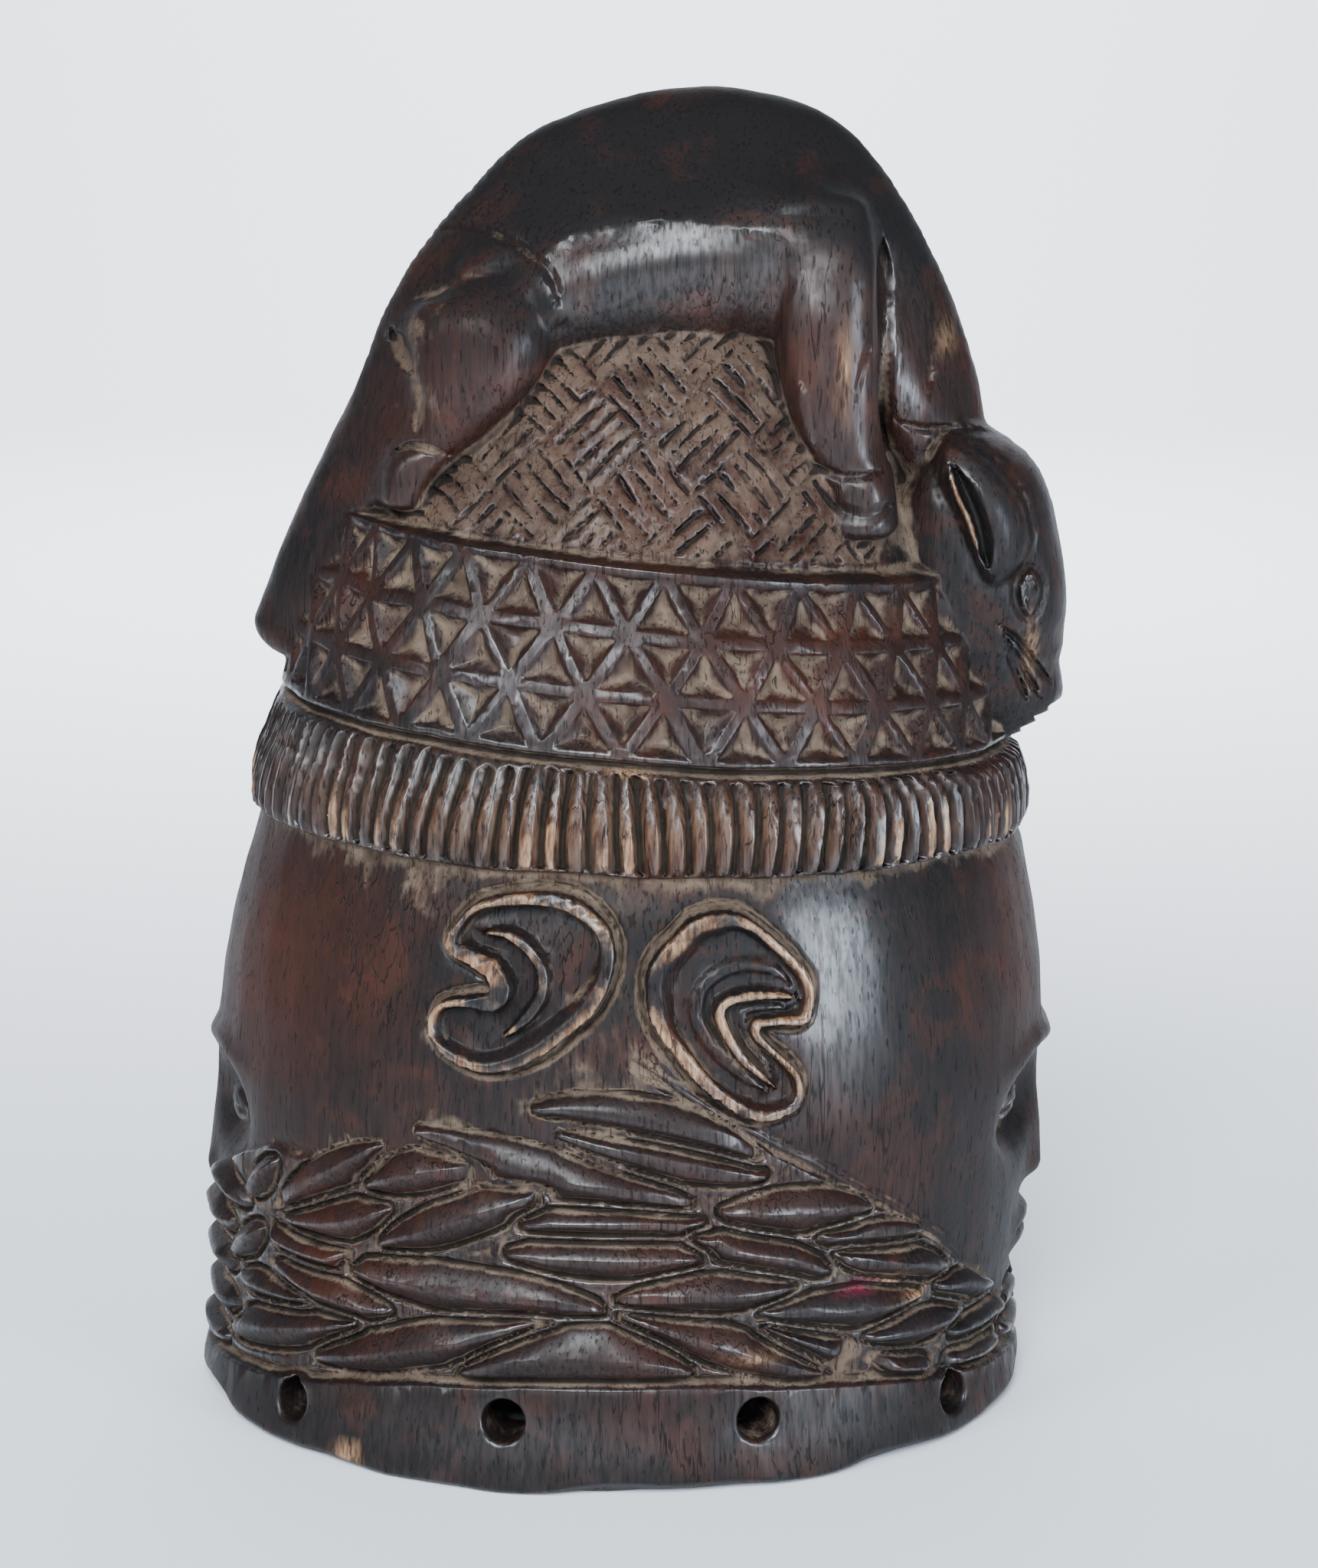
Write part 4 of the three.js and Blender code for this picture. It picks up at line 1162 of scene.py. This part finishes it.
def tint(name, description, default):
    return bpy.props.FloatVectorProperty(
        name=name, description=description, default=(*default, 1), size=4, subtype="COLOR", min=0, max=1)


class HeadSizes(bpy.types.PropertyGroup):
    fineness: length("Fineness", "Spacing of the grid that the carving is measured on", 0.0008)
    triangles: count("Triangles", "Most triangles that the mask may have", 194000, 2000)
    rim_hole: length("Rim hole", "Diameter of the lacing holes round the rim", 0.013)


class BeardSizes(bpy.types.PropertyGroup):
    leaf_height: length("Leaf height", "How far a leaf's crest stands out", 0.0064)
    rib_height: length("Rib height", "How far the ribs between leaves stand out", 0.0019)


class EarSizes(bpy.types.PropertyGroup):
    rim_width: length("Rim width", "Width of an ear's rim", 0.0031)
    rim_height: length("Rim height", "How far an ear's rim stands out", 0.0044)


class RidgeSizes(bpy.types.PropertyGroup):
    flutes: count("Bars", "Upright bars round the ridge", 108, 12)
    groove_depth: length("Groove depth", "Depth of the cuts between the bars", 0.0034)


class BandSizes(bpy.types.PropertyGroup):
    columns: count("Columns", "Triangles in one row round the head", 30, 6)
    bar_width: length("Bar width", "Width of the lattice between the pits", 0.0031)
    chip_depth: length("Pit depth", "Depth of a triangular pit at its point", 0.0036)


class WeaveSizes(bpy.types.PropertyGroup):
    strips: count("Strips", "Strips in one block of the weave", 5, 2)
    weave_depth: length("Weave depth", "Depth of the cuts between the strips", 0.0019)


class WoodFinish(bpy.types.PropertyGroup):
    deep: tint("Deep", "The darkest wood", (0.0045, 0.0034, 0.0034))
    warm: tint("Warm", "Red-brown wood where the oil is thin", (0.034, 0.0095, 0.0045))
    dust_dark: tint("Dark dust", "Dust in deep cuts", (0.045, 0.030, 0.020))
    dust_light: tint("Light dust", "Dust that lies open", (0.155, 0.112, 0.080))
    tan_dark: tint("Dark tan", "Worn edges in the shade of the grain", (0.13, 0.058, 0.028))
    tan_light: tint("Light tan", "Bare wood at worn edges", (0.38, 0.23, 0.125))
    dust_amount: bpy.props.FloatProperty(
        name="Dust", description="How much dust lies in the cuts",
        default=1.0, min=0, max=1, subtype="FACTOR")


class StageLook(bpy.types.PropertyGroup):
    floor: tint("Floor", "Colour of the plain floor", (0.86, 0.89, 0.93))
    sky: tint("Sky", "Colour of the light from all round", (0.72, 0.79, 0.92))
    power: bpy.props.FloatProperty(name="Light", description="Strength of the lamps", default=1.0, min=0)


class CarveMask(bpy.types.Operator):
    """Carve the mask as one closed piece and give it its wood"""

    bl_idname = "helmet.carve"
    bl_label = "Carve the mask"

    def execute(self, context):
        scene = context.scene
        carving = Carving(scene)
        step = scene.mask_head.fineness / MM * 1
        low, high = ROOM
        values = fill_grid(carving, low, high, step)
        points, triangles = skin(values, low, step)
        mesh = make_mesh("carved_mask", (points + (SHIFT, 0, 0)) * MM, triangles)
        mask = bpy.data.objects.new("carved_mask", mesh)
        context.collection.objects.link(mask)
        thin_out(mask, scene.mask_head.triangles)
        mark_wood(mask, carving, values, low, step)
        mask.data.materials.append(oiled_wood(scene.mask_wood))
        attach(mask, "root")
        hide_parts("mask")
        return {"FINISHED"}


MIDDLE = (0, 0, 0.2)
# Each lamp's place, what it points at, its size, watts and colour
LAMPS = [
    ("front_lamp", (-0.2, -1.5, 1.2), MIDDLE, 0.9, 62, (0.88, 0.94, 1)),
    ("window_lamp", (1.15, -1.15, 0.35), MIDDLE, 0.6, 30, (0.76, 0.87, 1)),
    ("side_lamp", (-1.1, -1.05, 0.95), MIDDLE, 0.6, 17, (0.86, 0.92, 1)),
    ("wall_lamp", (0, 1.2, 2.4), (0, 4.0, 0.8), 1.6, 330, (0.93, 0.96, 1)),
]
SKY_STRENGTH = 0.15
CAMERA_PLACE = ((16 + SHIFT) * MM, -1.0, 0.411)
CAMERA_TILT, SENSOR_WIDTH, LENS = 12.24, 36, 73.05


class SetStage(bpy.types.Operator):
    """Set the floor, the soft lights and the camera"""

    bl_idname = "helmet.stage"
    bl_label = "Set the stage"

    def lamp(self, name, place, aim, size, watts, colour):
        light = bpy.data.lights.new(name, "AREA")
        light.shape, light.size, light.energy, light.color = "DISK", size, watts, colour
        lamp = bpy.data.objects.new(name, light)
        lamp.location = place
        lamp.rotation_euler = (Vector(aim) - Vector(place)).to_track_quat("-Z", "Y").to_euler()
        bpy.context.collection.objects.link(lamp)

    def execute(self, context):
        look = context.scene.mask_stage
        front, back, bend, steps, top, side = -4.0, 3.0, 1.2, 12, 6.0, 6.0
        sweep = [(front, 0.0), (back, 0.0)]
        for number in range(1, steps + 1):
            angle = math.pi / 2 * number / steps
            sweep.append((back + bend * math.sin(angle), bend - bend * math.cos(angle)))
        sweep.append((back + bend, top))
        points = [(x, y, z) for y, z in sweep for x in (-side, side)]
        faces = [(2 * n, 2 * n + 1, 2 * n + 3, 2 * n + 2) for n in range(len(sweep) - 1)]
        mesh = bpy.data.meshes.new("floor")
        mesh.from_pydata(points, [], faces)
        mesh.polygons.foreach_set("use_smooth", [True] * len(faces))
        floor = bpy.data.objects.new("floor", mesh)
        floor.data.materials.append(plain_finish("pale_floor", look.floor, 0.7))
        context.collection.objects.link(floor)

        for name, place, aim, size, watts, colour in LAMPS:
            self.lamp(name, place, aim, size, watts * look.power, colour)
        world = bpy.data.worlds.new("soft_room")
        world.use_nodes = True
        sky = world.node_tree.nodes["Background"]
        sky.inputs[0].default_value = look.sky
        sky.inputs[1].default_value = SKY_STRENGTH
        context.scene.world = world

        camera = bpy.data.objects.new("camera", bpy.data.cameras.new("camera"))
        camera.data.sensor_width, camera.data.lens = SENSOR_WIDTH, LENS
        camera.location = CAMERA_PLACE
        camera.rotation_euler = (math.radians(90 - CAMERA_TILT), 0, 0)
        context.collection.objects.link(camera)
        context.scene.camera = camera
        return {"FINISHED"}


class MaskPanel(bpy.types.Panel):
    """The sizes and colours of the mask"""

    bl_idname = "VIEW3D_PT_helmet_mask"
    bl_label = "Helmet mask"
    bl_space_type = "VIEW_3D"
    bl_region_type = "UI"
    bl_category = "Mask"

    def draw(self, context):
        for name, group in GROUPS.items():
            box = self.layout.box()
            box.label(text=name.removeprefix("mask_").capitalize())
            for held in group.__annotations__:
                box.prop(getattr(context.scene, name), held)
        for action in (CarveMask, SetStage):
            self.layout.operator(action.bl_idname)


GROUPS = {
    "mask_head": HeadSizes, "mask_beard": BeardSizes, "mask_ears": EarSizes, "mask_ridge": RidgeSizes,
    "mask_band": BandSizes, "mask_weave": WeaveSizes, "mask_wood": WoodFinish, "mask_stage": StageLook,
}
CLASSES = (*GROUPS.values(), CarveMask, SetStage, MaskPanel)


def register():
    for kind in CLASSES:
        bpy.utils.register_class(kind)
    for name, group in GROUPS.items():
        setattr(bpy.types.Scene, name, bpy.props.PointerProperty(type=group))


def unregister():
    for name in GROUPS:
        delattr(bpy.types.Scene, name)
    for kind in reversed(CLASSES):
        bpy.utils.unregister_class(kind)


def main():
    register()
    bpy.ops.helmet.carve()
    bpy.ops.helmet.stage()
    bpy.context.view_layer.update()


if __name__ == "__main__":
    main()
